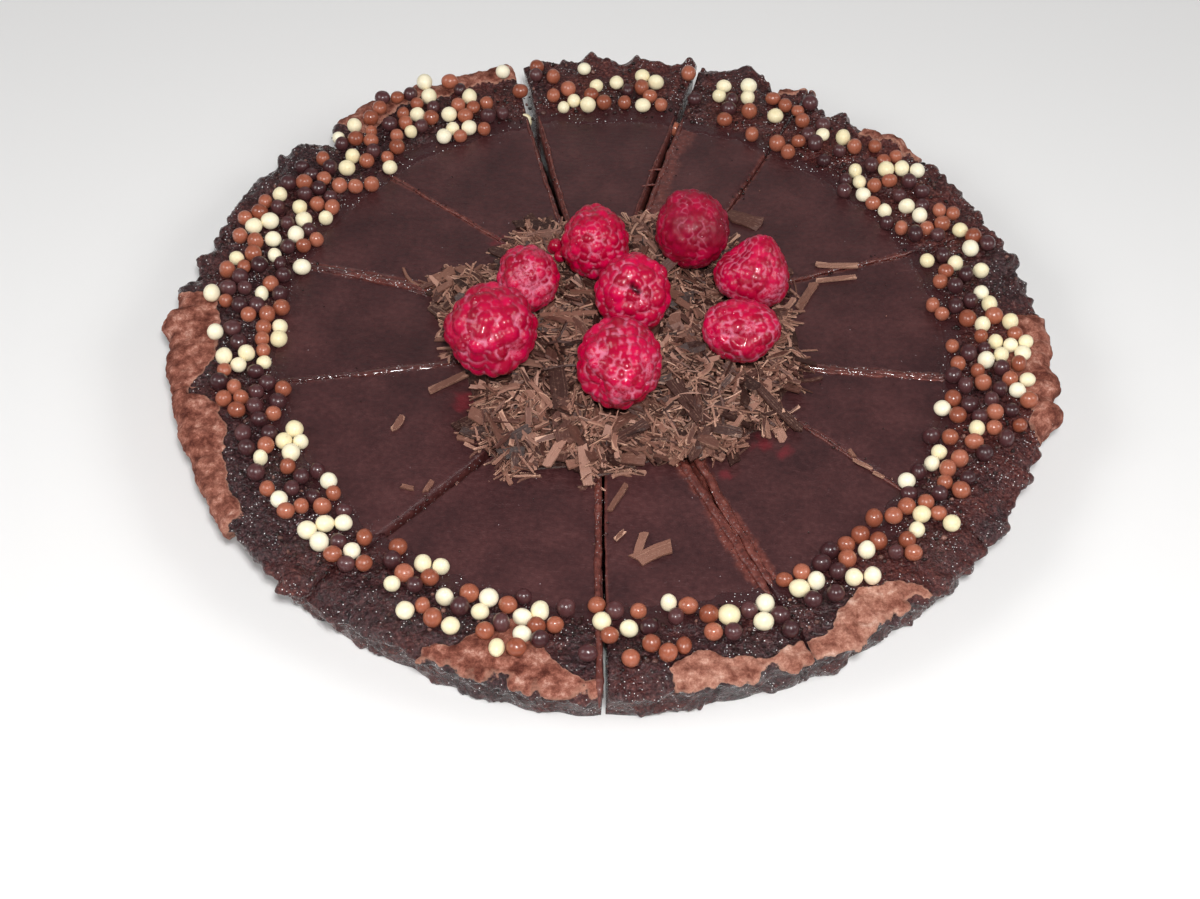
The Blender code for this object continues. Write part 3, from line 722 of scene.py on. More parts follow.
def build_crust_slice(wedge, material):
    number = wedge["number"]
    spread = {**rim_rows[-1], "radius": SPREAD_RADIUS, "height": SPREAD_HEIGHT}
    spread["radii"] = np.full(len(spread["directions"]), SPREAD_RADIUS)
    outer_rows = rim_rows + [spread]
    corners = [(row["radius"], row["height"]) for row in outer_rows]
    section = np.linalg.norm(np.diff(corners, axis=0), axis=1).sum()
    blend = rounded_blend(corners, round(section / CRUST_STEP))
    nominal = blend @ np.array(corners)
    widest = nominal[:, 0].max()
    width = float(direction_in(wedge, widest, 1.0) - direction_in(wedge, widest, 0.0)) * widest
    shares = np.linspace(0.0, 1.0, round(width / CRUST_STEP))
    direction = direction_in(wedge, nominal[:, :1], shares[None, :])
    radius = np.zeros(direction.shape)
    for row, part in zip(outer_rows, blend.T):
        # Crumb has no sharp tips, so the outline is averaged over a few millimetres.
        for turn in (-TIP_ROUNDING, 0.0, TIP_ROUNDING):
            outline = np.interp(direction + turn / widest, row["directions"], row["radii"], period=TURN)
            radius += part[:, None] * outline / 3.0
    height = np.repeat(nominal[:, 1:], len(shares), axis=1)
    slope = np.gradient(nominal, axis=0)
    slope /= np.linalg.norm(slope, axis=1, keepdims=True)
    out, up = slope[:, 1:], -slope[:, :1]

    up_wall = smooth_step(height / (RIM_HEIGHT - 2.0))
    outwards = smooth_step((radius - 102.0) / 12.0)
    radius = radius + outwards * wall_lean(direction, up_wall)
    place = polar(radius, direction, height)
    reach, tone = skin_reach(radius, direction, height)
    wobble = 1.3 * noise(place, 5.0, 1) + 0.8 * noise(place, 1.9, 2)
    # The outline wobbles, but the middle of a patch stays whole.
    whole = 4.0 * smooth_step((reach - 0.3) / 1.1) - 3.0
    reach = np.maximum(reach + wobble, whole)
    skinned = smooth_step(reach / 0.7 + 0.5)
    on_wall = smooth_step((RIM_HEIGHT - 2.5 - height) / 3.0)
    on_edge = smooth_step((radius - widest + 7.0) / 5.0) * (1.0 - on_wall)
    glazed = smooth_step((97.5 + 2.5 * noise(place, 8.0, 16) - radius) / 4.0)
    crumb = crumb_relief(place, on_wall, on_edge) * (1.0 - 0.75 * glazed)
    below_skin = (1.0 - skinned) * smooth_step(1.0 + (reach + 4.5) / 3.0) * on_wall
    crumb -= SKIN_OVERHANG * below_skin * smooth_step(height / 6.0)
    baked = 0.50 * noise(place, 4.2, 11) + 0.50 * noise(place, 2.1, 17) + 0.36 * noise(place, 1.2, 12)
    baked += SKIN_THICKNESS
    baked += 0.5 * on_edge
    lift = crumb + (baked - crumb) * skinned
    # The crumbling front edge has dried out, and the right and back were baked redder.
    degrees = np.degrees(direction)
    in_front = smooth_step(1.6 - np.abs(degrees % 360.0 - 250.0) / 40.0)
    outermost = smooth_step((radius - widest + 2.5) / 2.5)
    baked_red = smooth_step(1.9 - np.abs((degrees - 35.0 + 180.0) % 360.0 - 180.0) / 62.0)
    dry = np.maximum(0.7 * in_front * np.maximum(on_wall, outermost), 0.75 * baked_red)
    dry = dry * (0.85 + 0.5 * noise(place, 4.0, 15))
    from_cut = np.minimum(shares, 1.0 - shares)[None, :] * (
        direction_in(wedge, radius, 1.0) - direction_in(wedge, radius, 0.0)) * radius
    lift -= 0.7 * np.exp(-from_cut / 0.7)
    lump = rim_lumps(direction, radius) * smooth_step((radius - widest + 9.0) / 6.0)
    inner_fade = smooth_step((radius - SPREAD_RADIUS) / 4.5)
    lift = lift * (0.25 + 0.75 * inner_fade) * smooth_step(height / 1.2 + 0.25)
    wander = 1.7 * noise(place, 6.0, 13) + 0.8 * noise(place, 2.2, 14)
    radius = radius + lift * out + lump * smooth_step(height / 12.0) * 0.75 + wander * (1.0 - inner_fade)
    height = np.maximum(height + lift * up + 0.4 * lump * np.abs(up), 0.0)

    hidden = [
        (SPREAD_RADIUS - 2.6, GLAZE_HEIGHT - 1.0),
        (FILLING_FOOT_RADIUS + 0.3, FILLING_BASE - 0.34),
        (TIP_RADIUS, FILLING_BASE - 0.34),
        (TIP_RADIUS, 0.0),
    ]
    rings = [polar(radius, direction, height)]
    for far, level in hidden:
        rings.append(polar(far, direction_in(wedge, far, shares), level)[None])
    points = np.concatenate(rings)
    extra = len(hidden)
    reach = np.concatenate([reach, np.full((extra, len(shares)), -30.0)])
    tone = np.concatenate([tone, np.zeros((extra, len(shares)))])
    dry = np.concatenate([dry, np.zeros((extra, len(shares)))])
    glazed = np.concatenate([glazed, np.zeros((extra, len(shares)))])
    return make_piece(
        f"crust_slice_{number:02d}", points.reshape(-1, 3),
        skin_faces(points.shape[0], points.shape[1]), material,
        replaces=[f"crust_{number:02d}"],
        values={
            "skin": np.clip(reach, -5.0, 5.0), "skin_tone": tone, "dry": np.clip(dry, 0.0, 1.2),
            "glazed": glazed,
        },
    )


# ---------------------------------------------------------------------------
# Filling
# ---------------------------------------------------------------------------

# What the knife did along each cut. In mm: the smeared strip before and after the cut,
# how far its lips are dragged down, and how wide a gouge it left at the shavings and at
# the rim. Then how ragged and how wet the lips are and how far they turn red, from 0 to 1.
CUT_MARKS = [
    # before, after, drag, gouge in, gouge out, ragged, wet, colour
    (1.2, 0.8, 0.30, 0.0, 0.0, 0.9, 0.4, 0.5),
    (0.7, 0.7, 0.45, 0.0, 0.0, 1.0, 0.1, 0.4),
    (4.8, 0.7, 0.35, 0.0, 0.0, 0.4, 0.1, 0.5),
    (0.9, 1.0, 0.40, 0.0, 0.0, 0.8, 0.2, 0.5),
    (0.7, 0.8, 0.15, 0.0, 0.0, 0.5, 0.1, 0.5),
    (1.6, 1.4, 0.20, 0.0, 0.0, 0.4, 0.7, 0.4),
    (0.6, 1.6, 0.30, 0.0, 0.0, 0.5, 0.8, 0.2),
    (0.7, 0.8, 0.50, 0.55, 0.8, 1.0, 0.3, 0.2),
    (1.4, 0.6, 0.40, 0.0, 0.0, 0.4, 0.2, 0.4),
    (3.4, 3.0, 0.20, 1.6, 0.9, 0.6, 0.15, 0.75),
    (0.8, 0.5, 0.40, 0.0, 0.0, 0.9, 0.2, 0.3),
    (1.4, 1.2, 0.20, 0.0, 0.0, 0.6, 0.9, 0.4),
]
GOUGE_DEPTH = 2.4

# Raspberry juice on the glaze: x, y, radius.
JUICE_STAINS = [
    (41.0, -36.5, 3.0), (45.0, -38.5, 2.0), (30.5, -47.0, 2.0), (-39.0, -25.0, 3.5), (-33.0, 36.0, 3.0),
]


def edge_shares(width):
    """Shares across a slice, packed close together next to both cuts."""
    near = [0.0]
    step = 0.28
    while near[-1] + step < width / 2.0:
        near.append(near[-1] + step)
        step = min(step * 1.16, 1.9)
    near = np.array(near) / width
    return np.concatenate([near, 1.0 - near[::-1]])


def mark_cut(marks, distance, radius, place, before):
    """Lift of the glaze beside a cut, and how smeared and wet it is there."""
    smear_before, smear_after, drag, gouge_in, gouge_out, ragged, wet, color = marks
    width = smear_before if before else smear_after
    uneven = 1.0 + 0.45 * noise(place, 7.0, 21) + 0.35 * ragged * noise(place, 2.0, 22)
    smear = smooth_step(3.0 - 2.8 * distance / (width * np.maximum(uneven, 0.2)))
    lift = -drag * np.exp(-((distance / 0.8) ** 2)) * (1.0 + ragged * noise(place, 1.6, 23))
    lift += 0.16 * smear * (0.6 + noise(place, 1.4, 24))
    if gouge_in:
        span = gouge_in + (gouge_out - gouge_in) * (radius - 50.0) / 45.0
        inside = smooth_step(1.0 - distance / np.maximum(span, 0.4))
        lift -= GOUGE_DEPTH * inside * (1.0 + 0.25 * noise(place, 3.0, 25))
    return lift, smear * color, wet * smear


def build_filling_slice(wedge, material):
    number = wedge["number"]
    middle_radius = 70.0
    width = float(direction_in(wedge, middle_radius, 1.0) - direction_in(wedge, middle_radius, 0.0))
    shares = edge_shares(width * middle_radius)
    outer = GLAZE_RADIUS - 0.3
    top_radii = np.concatenate([
        np.linspace(outer, 46.0, round((outer - 46.0) / 0.7)),
        np.linspace(43.0, TIP_RADIUS, 10),
    ])
    radius = np.repeat(top_radii[:, None], len(shares), axis=1)
    direction = direction_in(wedge, radius, shares[None, :])
    bank = smooth_step((radius - GLAZE_RADIUS + 7.0) / 6.0)
    place = polar(radius, direction, GLAZE_HEIGHT)
    height = GLAZE_HEIGHT + 0.16 * noise(place, 13.0, 28) + 0.07 * noise(place, 4.0, 29)
    height -= 0.5 * smooth_step((radius - SPREAD_RADIUS - 1.0) / 2.0)
    across = (direction_in(wedge, radius, 1.0) - direction_in(wedge, radius, 0.0)) * radius
    smear = np.zeros(radius.shape)
    wet = 0.35 * bank
    for before, share in ((False, shares), (True, 1.0 - shares)):
        marks = CUT_MARKS[(number - (0 if before else 1)) % SLICES]
        lift, dragged, moist = mark_cut(marks, across * share[None, :], radius, place, before)
        height = height + lift
        smear = np.maximum(smear, dragged)
        wet = np.maximum(wet, moist)
    jag = 0.22 * noise(place, 1.5, 30) - 0.08
    edge = np.exp(-across * np.minimum(shares, 1.0 - shares)[None, :] / 0.5)
    toward = np.where(shares < 0.5, 1.0, -1.0)[None, :]
    direction = direction + toward * edge * np.maximum(jag, -0.12) / radius
    juice = np.zeros(radius.shape)
    for x, y, reach in JUICE_STAINS:
        away = np.hypot(place[..., 0] - x, place[..., 1] - y)
        juice = np.maximum(juice, 0.8 * smooth_step(1.2 - away / reach + 0.9 * noise(place, 1.6, 31)))

    def flat_ring(far, level):
        return polar(far, direction_in(wedge, far, shares), level)[None]

    rings = [flat_ring(FILLING_FOOT_RADIUS, FILLING_BASE), flat_ring(GLAZE_RADIUS - 0.4, GLAZE_HEIGHT - 1.2)]
    rings += [polar(radius, direction, height)]
    rings += [flat_ring(TIP_RADIUS, FILLING_BASE), flat_ring(middle_radius, FILLING_BASE)]
    points = np.concatenate(rings)
    values = {"smear": smear, "wet": wet, "juice": juice}
    padded = {}
    for label, value in values.items():
        padded[label] = np.concatenate([value[:1], value[:1], value, value[-1:], value[-1:]])
    return make_piece(
        f"filling_slice_{number:02d}", points.reshape(-1, 3),
        skin_faces(points.shape[0], points.shape[1]), material,
        replaces=[f"filling_{number:02d}"], values=padded,
    )


# Beads and strings of ganache that the knife pulled up, by cut. Where one starts and ends
# is a radius and an offset from the middle of the cut; then come its width and height, all
# in mm, and how smeared and how wet it is, from 0 to 1.
GANACHE_BEADS = [
    (0, (52.0, 0.2), (93.0, 0.0), 1.0, 0.5, 0.6, 0.6),
    (2, (47.0, -1.7), (95.0, -1.5), 1.4, 0.4, 0.6, 0.3),
    (2, (47.0, 1.5), (95.0, 1.3), 0.7, 0.3, 0.5, 0.3),
    (2, (71.5, -2.2), (69.5, 2.2), 1.0, 0.6, 0.7, 0.3),
    (2, (64.5, -2.6), (62.5, 2.4), 0.9, 0.5, 0.7, 0.3),
    (3, (47.0, -1.6), (95.0, -2.0), 0.9, 0.4, 0.6, 0.5),
    (3, (47.0, 1.6), (95.0, 2.0), 0.8, 0.35, 0.6, 0.5),
    (4, (50.0, 0.0), (84.0, 0.0), 0.8, 0.3, 0.7, 0.1),
    (5, (49.0, 0.6), (79.0, 0.5), 2.8, 0.9, 0.6, 0.9),
    (5, (74.0, 0.0), (95.5, 0.2), 2.0, 0.6, 0.2, 1.0),
    (5, (50.0, 2.6), (60.0, 2.0), 1.8, 0.4, 0.2, 1.0),
    (6, (45.0, 0.6), (72.0, 0.6), 2.2, 0.55, 0.3, 1.0),
    (6, (66.0, 0.4), (93.0, 0.3), 1.3, 0.4, 0.1, 1.0),
    (8, (50.0, -1.3), (118.6, -1.4), 1.9, 0.9, 0.7, 0.3),
    (9, (46.0, -2.1), (94.0, -0.9), 2.6, 0.9, 0.75, 0.15),
    (9, (46.0, 2.2), (92.0, 0.9), 2.4, 0.8, 0.75, 0.15),
    (9, (58.0, 0.6), (82.0, -0.4), 1.0, 0.5, 0.8, 0.8),
    (10, (55.0, -0.7), (92.0, -0.5), 0.9, 0.4, 0.5, 0.2),
    (11, (50.0, 0.2), (96.5, 0.0), 2.2, 0.7, 0.5, 1.0),
    (11, (52.0, -1.0), (98.0, -0.9), 1.3, 0.4, 0.7, 0.8),
]
BEAD_SIDES = 8


def bead_points(path, widths, heights):
    """Rings of points round a path: a flattened strand that follows the surface."""
    ahead = np.gradient(path, axis=0)
    ahead /= np.linalg.norm(ahead, axis=1, keepdims=True)
    sideways = np.cross(ahead, [0.0, 0.0, 1.0])
    turns = np.linspace(0.0, TURN, BEAD_SIDES, endpoint=False)
    rings = []
    for turn in turns:
        offset = sideways * (np.cos(turn) * widths / 2.0)[:, None]
        rise = np.array([0.0, 0.0, 1.0]) * (np.sin(turn) * heights)[:, None]
        rings.append(path + offset + rise)
    return np.stack(rings)


def build_ganache_beads(material):
    points, faces, smear, wet = [], [], [], []
    count = 0
    for index, (cut, start, end, width, height, smeared, wetness) in enumerate(GANACHE_BEADS):
        length = math.hypot(end[0] - start[0], end[1] - start[1])
        share = np.linspace(0.0, 1.0, max(round(length / 0.55), 7))
        radii = start[0] + (end[0] - start[0]) * share
        offset = start[1] + (end[1] - start[1]) * share
        path = polar(radii, cut_direction(cut, radii) + offset / radii, ground(radii))
        seed = 40 + 5 * index
        uneven = min(1.0, 1.1 / width)
        lumps = 1.0 + uneven * (0.40 * noise(path, 3.2, seed) + 0.30 * noise(path, 1.1, seed + 1))
        taper = np.sqrt(np.clip(np.minimum(share, 1.0 - share) * length / 4.0, 0.02, 1.0))
        path[:, 0] += 0.30 * noise(path, 4.5, seed + 2)
        path[:, 1] += 0.30 * noise(path, 4.5, seed + 3)
        rings = bead_points(path, width * lumps * taper, height * lumps * taper)
        faces += [[corner + count for corner in face] for face in skin_faces(BEAD_SIDES, len(radii))]
        count += rings.shape[0] * rings.shape[1]
        points.append(rings.reshape(-1, 3))
        smear.append(np.full(len(points[-1]), smeared))
        wet.append(np.full(len(points[-1]), wetness))
    make_piece(
        "ganache_beads", np.vstack(points), faces, material,
        values={"smear": np.concatenate(smear), "wet": np.concatenate(wet), "juice": np.zeros(count)},
    )


# ---------------------------------------------------------------------------
# Raspberries
# ---------------------------------------------------------------------------

# How each berry lies and looks: lean from upright and its heading in degrees, and how much
# it narrows to its tip, as in the CAD; then the distance between its drupelets in mm, how
# far they bulge, its bloom and how dark it has gone, each from 0 to 1.
BERRY_LOOKS = [
    (14.0, 250.0, 0.10, 4.4, 1.00, 0.45, 0.12),
    (24.0, 300.0, 0.14, 3.6, 0.85, 1.00, 0.00),
    (28.0, 255.0, 0.16, 3.3, 0.95, 0.45, 0.00),
    (12.0, 120.0, 0.08, 4.2, 1.00, 0.50, 0.00),
    (52.0, 285.0, 0.24, 3.5, 0.90, 0.60, 0.00),
    (18.0, 205.0, 0.10, 2.5, 0.75, 0.14, 0.55),
    (24.0, 55.0, 0.36, 2.7, 0.62, 0.40, 0.16),
    (70.0, 10.0, 0.12, 3.5, 0.65, 0.75, 0.00),
]
# A drupelet's height and reach, as shares of the distance between drupelets.
DRUPELET_HEIGHT = 0.28
DRUPELET_REACH = 0.62
# Extra drupelets that swell past the others, dents and tears: berry, place, size, height.
BERRY_MARKS = [
    (1, (-36.0, -23.9, 38.1), 2.9, 0.7),
    (1, (-29.0, -27.0, 27.0), 3.4, 0.6),
    (4, (4.6, 2.6, 42.0), 2.7, 0.9),
    (4, (3.9, -0.8, 40.7), 0.95, -2.8),
    (4, (4.9, -1.7, 40.1), 1.00, -2.8),
    (4, (5.9, -2.5, 39.4), 0.85, -2.5),
    (5, (-7.5, -33.0, 31.0), 6.0, -2.0),
    (5, (-6.5, -26.0, 38.0), 4.0, 0.8),
    (7, (31.0, 15.0, 38.0), 5.0, -1.8),
    (6, (15.7, 35.4, 39.2), 3.2, 0.9),
    (8, (29.6, -13.6, 33.6), 1.5, -1.1),
    (8, (33.2, -14.5, 34.0), 1.6, -1.5),
    (8, (37.2, -14.3, 33.8), 1.5, -1.2),
    (8, (34.0, -15.4, 30.4), 3.0, 1.0),
]
# A tear this deep is coloured near-black inside, as painted shade in its hollow.
HOLLOW_RISE = -2.2
# Patches of bloom: berry, place, size.
BLOOM_PATCHES = [
    (1, (-33.1, -24.0, 39.0), 2.0), (1, (-25.0, -23.0, 34.7), 2.6), (1, (-39.1, -23.6, 33.9), 2.0),
    (1, (-24.9, -17.3, 41.9), 1.6), (2, (-24.0, 4.2, 36.3), 3.4), (2, (-22.4, 14.1, 38.1), 2.8),
    (2, (-22.2, 2.2, 33.6), 2.4), (3, (-13.0, 17.5, 31.7), 2.4), (3, (-5.6, 15.3, 36.0), 2.0),
    (4, (1.6, -0.7, 40.1), 1.8), (4, (7.2, -3.8, 37.5), 2.6), (5, (-5.2, -26.9, 39.4), 2.6),
    (5, (10.5, -28.4, 36.5), 2.8), (5, (1.8, -35.6, 32.4), 3.4), (7, (28.9, 8.6, 29.3), 3.0),
    (7, (45.5, 8.6, 32.6), 2.2), (7, (41.4, 5.5, 30.1), 3.0), (8, (36.1, -12.8, 35.8), 2.0),
    (8, (25.2, -11.6, 30.9), 2.0), (8, (29.7, -13.3, 34.4), 1.6),
]

# Drupelets that came off: place and radius in mm.
LOOSE_DRUPELETS = [
    ((-16.9, 27.0, 26.0), 2.1), ((-14.4, 25.9, 25.0), 1.9), ((-17.6, 28.6, 23.6), 1.8),
    ((-15.6, 24.2, 24.6), 1.7), ((-14.0, 27.6, 23.0), 2.0),
]


def drupelet_directions(spacing):
    """Directions of the drupelets from a berry's middle, in staggered rings down its axis."""
    directions = []
    rings = round(math.pi / (spacing * 0.88))
    for ring in range(rings + 1):
        tilt = math.pi * ring / rings
        around = max(1, round(TURN * math.sin(tilt) / spacing))
        for step in range(around):
            turn = TURN * (step + 0.5 * (ring % 2)) / around + rng.normal(0.0, 0.08)
            lean = tilt + rng.normal(0.0, 0.035)
            directions.append((
                math.sin(lean) * math.cos(turn), math.sin(lean) * math.sin(turn), math.cos(lean),
            ))
    return np.array(directions)


def berry_body(directions, number, low, high):
    """Places on a berry without its drupelets, fitted into its box in the frame."""
    lean, heading, narrowing = BERRY_LOOKS[number - 1][:3]
    taper = (1.0 - narrowing * directions[:, 2])[:, None]
    shaped = directions * np.concatenate([taper, taper, np.ones_like(taper)], axis=1)
    shaped *= 1.0 + 0.05 * noise(directions * 10.0, 9.0, 100 + number)[:, None]
    turn = (
        Euler((0.0, 0.0, math.radians(heading))).to_matrix()
        @ Euler((0.0, math.radians(lean), 0.0)).to_matrix()
        @ Euler((0.0, 0.0, math.radians(-heading))).to_matrix()
    )
    shaped = shaped @ np.array(turn).T
    return shaped * (high - low) / 2.0 + (low + high) / 2.0


def nearest_drupelets(body, centres, swell):
    """The two drupelets that meet at each point, the nearer one's reach and their border.

    The border is how far the point is from it in mm, and which way it lies.
    """
    power = ((body[:, None, :] - centres[None]) ** 2).sum(axis=2) - swell[None]
    order = np.argsort(power, axis=1)[:, :2]
    rows = np.arange(len(body))
    nearest, second = power[rows, order[:, 0]], power[rows, order[:, 1]]
    across = centres[order[:, 1]] - centres[order[:, 0]]
    width = np.linalg.norm(across, axis=1)
    return order[:, 0], nearest, (second - nearest) / (2.0 * width), across / width[:, None]


def distance_over(body, place):
    """Distance of every point from the one that is nearest to a place."""
    middle = body[np.argmin(np.linalg.norm(body - place, axis=1))]
    return np.linalg.norm(body - middle, axis=1)


def build_loose_drupelets(material):
    """A few drupelets that came off and lie between two of the berries."""
    directions, faces = ball(3)
    points = np.vstack([directions * size + place for place, size in LOOSE_DRUPELETS])
    count = len(directions)
    made = len(LOOSE_DRUPELETS)
    make_piece(
        "loose_drupelets", points, copied_faces(made, faces, count), material,
        values={
            "groove": np.zeros(len(points)), "tint": np.repeat(rng.random(made), count),
            "frost": 0.3 + 0.3 * noise(points, 2.0, 190), "bruise": np.zeros(len(points)),
            "hollow_shade": np.zeros(len(points)),
        },
    )


def build_raspberry(number, material):
    low, high = (np.array(corner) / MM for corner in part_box(f"raspberry_{number}"))
    spacing, bulge, frost, darkness = BERRY_LOOKS[number - 1][3:]
    directions, faces = ball(5)
    body = berry_body(directions, number, low, high)
    spread = drupelet_directions(spacing / float((high - low).mean()) * 2.0)
    centres = berry_body(spread, number, low, high)
    swell = 0.10 * spacing**2 * rng.normal(0.0, 1.0, len(centres))
    # Points that are almost on a border are moved onto it, so that the groove is sharp.
    _, _, border, across = nearest_drupelets(body, centres, swell)
    body = body + across * (border * (border < 0.27))[:, None]
    owner, nearest, border, _ = nearest_drupelets(body, centres, swell)
    middle, half = (low + high) / 2.0, (high - low) / 2.0
    normal = (body - middle) / half**2
    normal /= np.linalg.norm(normal, axis=1, keepdims=True)
    lift = bulge * DRUPELET_HEIGHT * spacing * (1.0 - nearest / (DRUPELET_REACH * spacing) ** 2)
    hollow_shade = np.zeros(len(body))
    for berry, place, size, rise in BERRY_MARKS:
        if berry == number:
            apart = distance_over(body, place)
            lift += rise * smooth_step(1.3 - apart / size)
            # A deep tear is coloured near-black inside: painted shade.
            if rise < HOLLOW_RISE:
                hollow_shade = np.maximum(hollow_shade, smooth_step(1.5 - 1.1 * apart / size))
    bloom = frost * (0.40 + 0.40 * noise(body, 4.5, 140 + number))
    for berry, place, size in BLOOM_PATCHES:
        if berry == number:
            bloom += 0.5 * smooth_step(1.6 - distance_over(body, place) / size)
    shaped = body + normal * lift[:, None]
    bottom, top = shaped.min(axis=0), shaped.max(axis=0)
    shaped = low + (shaped - bottom) / (top - bottom) * (high - low)
    hairy = np.clip(0.60 + 0.9 * noise(body, 3.0, 180 + number), 0.2, 1.0)
    groove = (1.0 - np.clip(border / 0.26, 0.0, 1.0)) * hairy * min(0.35 + 1.4 * frost, 1.0)
    tints = rng.random(len(centres))
    bruise = np.clip(darkness * (0.9 + 0.6 * noise(body, 6.0, 120 + number)), 0.0, 1.0)
    return make_piece(
        f"berry_{number}", shaped, faces, material,
        replaces=[f"raspberry_{number}"],
        values={
            "groove": groove, "tint": tints[owner],
            "frost": np.clip(bloom, 0.0, 1.5), "bruise": bruise, "hollow_shade": hollow_shade,
        },
    )


# ---------------------------------------------------------------------------
# Shavings
# ---------------------------------------------------------------------------

CORE_SINK = 2.2
SPLINTERS = 4250
SLIVER_STATIONS = 4
# A sliver's section is a thin box with a middle line on both faces.
SLIVER_SECTION = np.array([
    (-1.0, 1.0), (0.0, 1.0), (1.0, 1.0), (1.0, -1.0), (0.0, -1.0), (-1.0, -1.0),
]) / 2.0
SLIVER_CAPS = [(0, 1, 4, 5), (1, 2, 3, 4)]

# Large pieces that lie in plain sight: x, y, heading in degrees, length, width, and how
# pale they are from 0 to 1.
LARGE_SHAVINGS = [
    (-13.9, -24.0, -82.0, 14.0, 4.2, 0.10),
    (-12.6, -36.2, -81.0, 9.0, 4.5, 0.30),
    (38.9, -22.9, 56.0, 12.5, 3.6, 0.85),
    (20.3, -27.5, -55.0, 14.0, 4.6, 0.15),
    (44.1, -26.6, -44.0, 16.0, 2.6, 0.15),
    (-14.0, -44.6, 64.0, 9.1, 2.6, 0.90),
    (-12.0, 3.0, 3.0, 15.5, 1.6, 0.75),
    (-11.4, -0.3, -7.5, 14.0, 1.8, 0.65),
    (-43.9, -19.4, 35.0, 11.5, 2.0, 0.55),
    (53.5, 17.8, 65.0, 9.8, 2.2, 0.60),
    (62.9, 31.1, 1.5, 12.0, 1.6, 0.80),
    (62.5, 25.7, 11.5, 11.8, 1.3, 0.75),
    (54.2, 19.6, 63.0, 8.6, 2.0, 0.70),
    (37.8, 48.3, -23.5, 9.5, 5.0, 0.35),
    (-55.5, -34.4, 67.0, 5.5, 1.8, 0.55),
    (-37.6, -38.7, -13.0, 5.0, 1.6, 0.65),
    (-45.6, -55.0, 68.0, 4.0, 1.4, 0.60),
    (-51.1, -55.6, -15.0, 3.3, 1.2, 0.60),
    (-57.4, 19.4, -53.5, 9.0, 0.9, 0.65),
    (-46.6, 23.2, -53.0, 5.0, 1.4, 0.60),
    (-48.7, 18.4, 27.0, 8.0, 3.2, 0.65),
    (-48.0, 13.2, 23.0, 7.1, 1.8, 0.60),
    (11.6, -73.8, 30.0, 10.5, 4.0, 0.70),
    (8.6, -70.7, 76.0, 6.5, 2.2, 0.75),
    (3.3, -68.5, 53.0, 3.1, 1.3, 0.60),
    (-6.1, -48.6, -80.0, 10.5, 2.9, 0.85),
    (2.6, -56.4, 65.0, 9.5, 1.5, 0.55),
    (63.1, -38.7, -62.0, 2.9, 1.1, 0.70),
    (65.6, -42.2, -34.0, 5.5, 1.0, 0.75),
    (69.6, -45.6, -30.0, 3.0, 0.8, 0.70),
]


def heap_outline(direction):
    """Radius of the edge of the CAD's heap in a direction."""
    points = node_points("chocolate_shavings")
    rim = points[points[:, 2] < points[:, 2].min() + 0.05]
    order = np.argsort(direction_of(rim))
    return np.interp(direction, direction_of(rim)[order], radius_of(rim)[order], period=TURN)


def build_heap_core(heap_top, material):
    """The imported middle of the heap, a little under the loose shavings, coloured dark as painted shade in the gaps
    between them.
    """
    sectors, rings = 160, 52
    direction = np.linspace(0.0, TURN, sectors, endpoint=False)
    shares = np.linspace(0.03, 0.97, rings)
    radius = shares[:, None] * heap_outline(direction)[None, :]
    flat = polar(radius, direction[None, :], 0.0)
    height = np.array([[heap_top(x, y) for x, y, _ in ring] for ring in flat])
    rough = 0.7 * noise(flat * [1.0, 1.0, 0.0], 2.6, 160) + 0.35 * noise(flat, 1.2, 161)
    flat[..., 2] = np.maximum(height - CORE_SINK + rough, GLAZE_HEIGHT + 0.12)
    skirt = flat[-1].copy()
    skirt[:, 2] = GLAZE_HEIGHT - 0.5
    base = flat[0].copy()
    base[:, 2] = GLAZE_HEIGHT - 0.5
    points = np.concatenate([flat.reshape(-1, 3), skirt, base])
    faces = []
    for ring in range(rings + 1):
        for sector in range(sectors):
            after = (sector + 1) % sectors
            corners = (ring * sectors + sector, (ring + 1) * sectors + sector)
            faces.append([corners[0], corners[1], (ring + 1) * sectors + after, ring * sectors + after])
    faces.append(list(range(sectors)))
    faces.append([(rings + 1) * sectors + sector for sector in reversed(range(sectors))])
    edge = np.clip(0.1 + 0.5 * noise(points, 1.2, 162), 0.0, 1.0)
    # Dark tints here are painted shade between the loose shavings.
    tint = np.clip(0.1 + 0.25 * noise(points, 3.0, 163), 0.0, 1.0)
    make_piece(
        "shavings_core", points, faces, material,
        replaces=["chocolate_shavings"],
        values={"edge": edge, "tint": tint, "across": points[:, 0], "brittle": 0.5 + edge},
    )


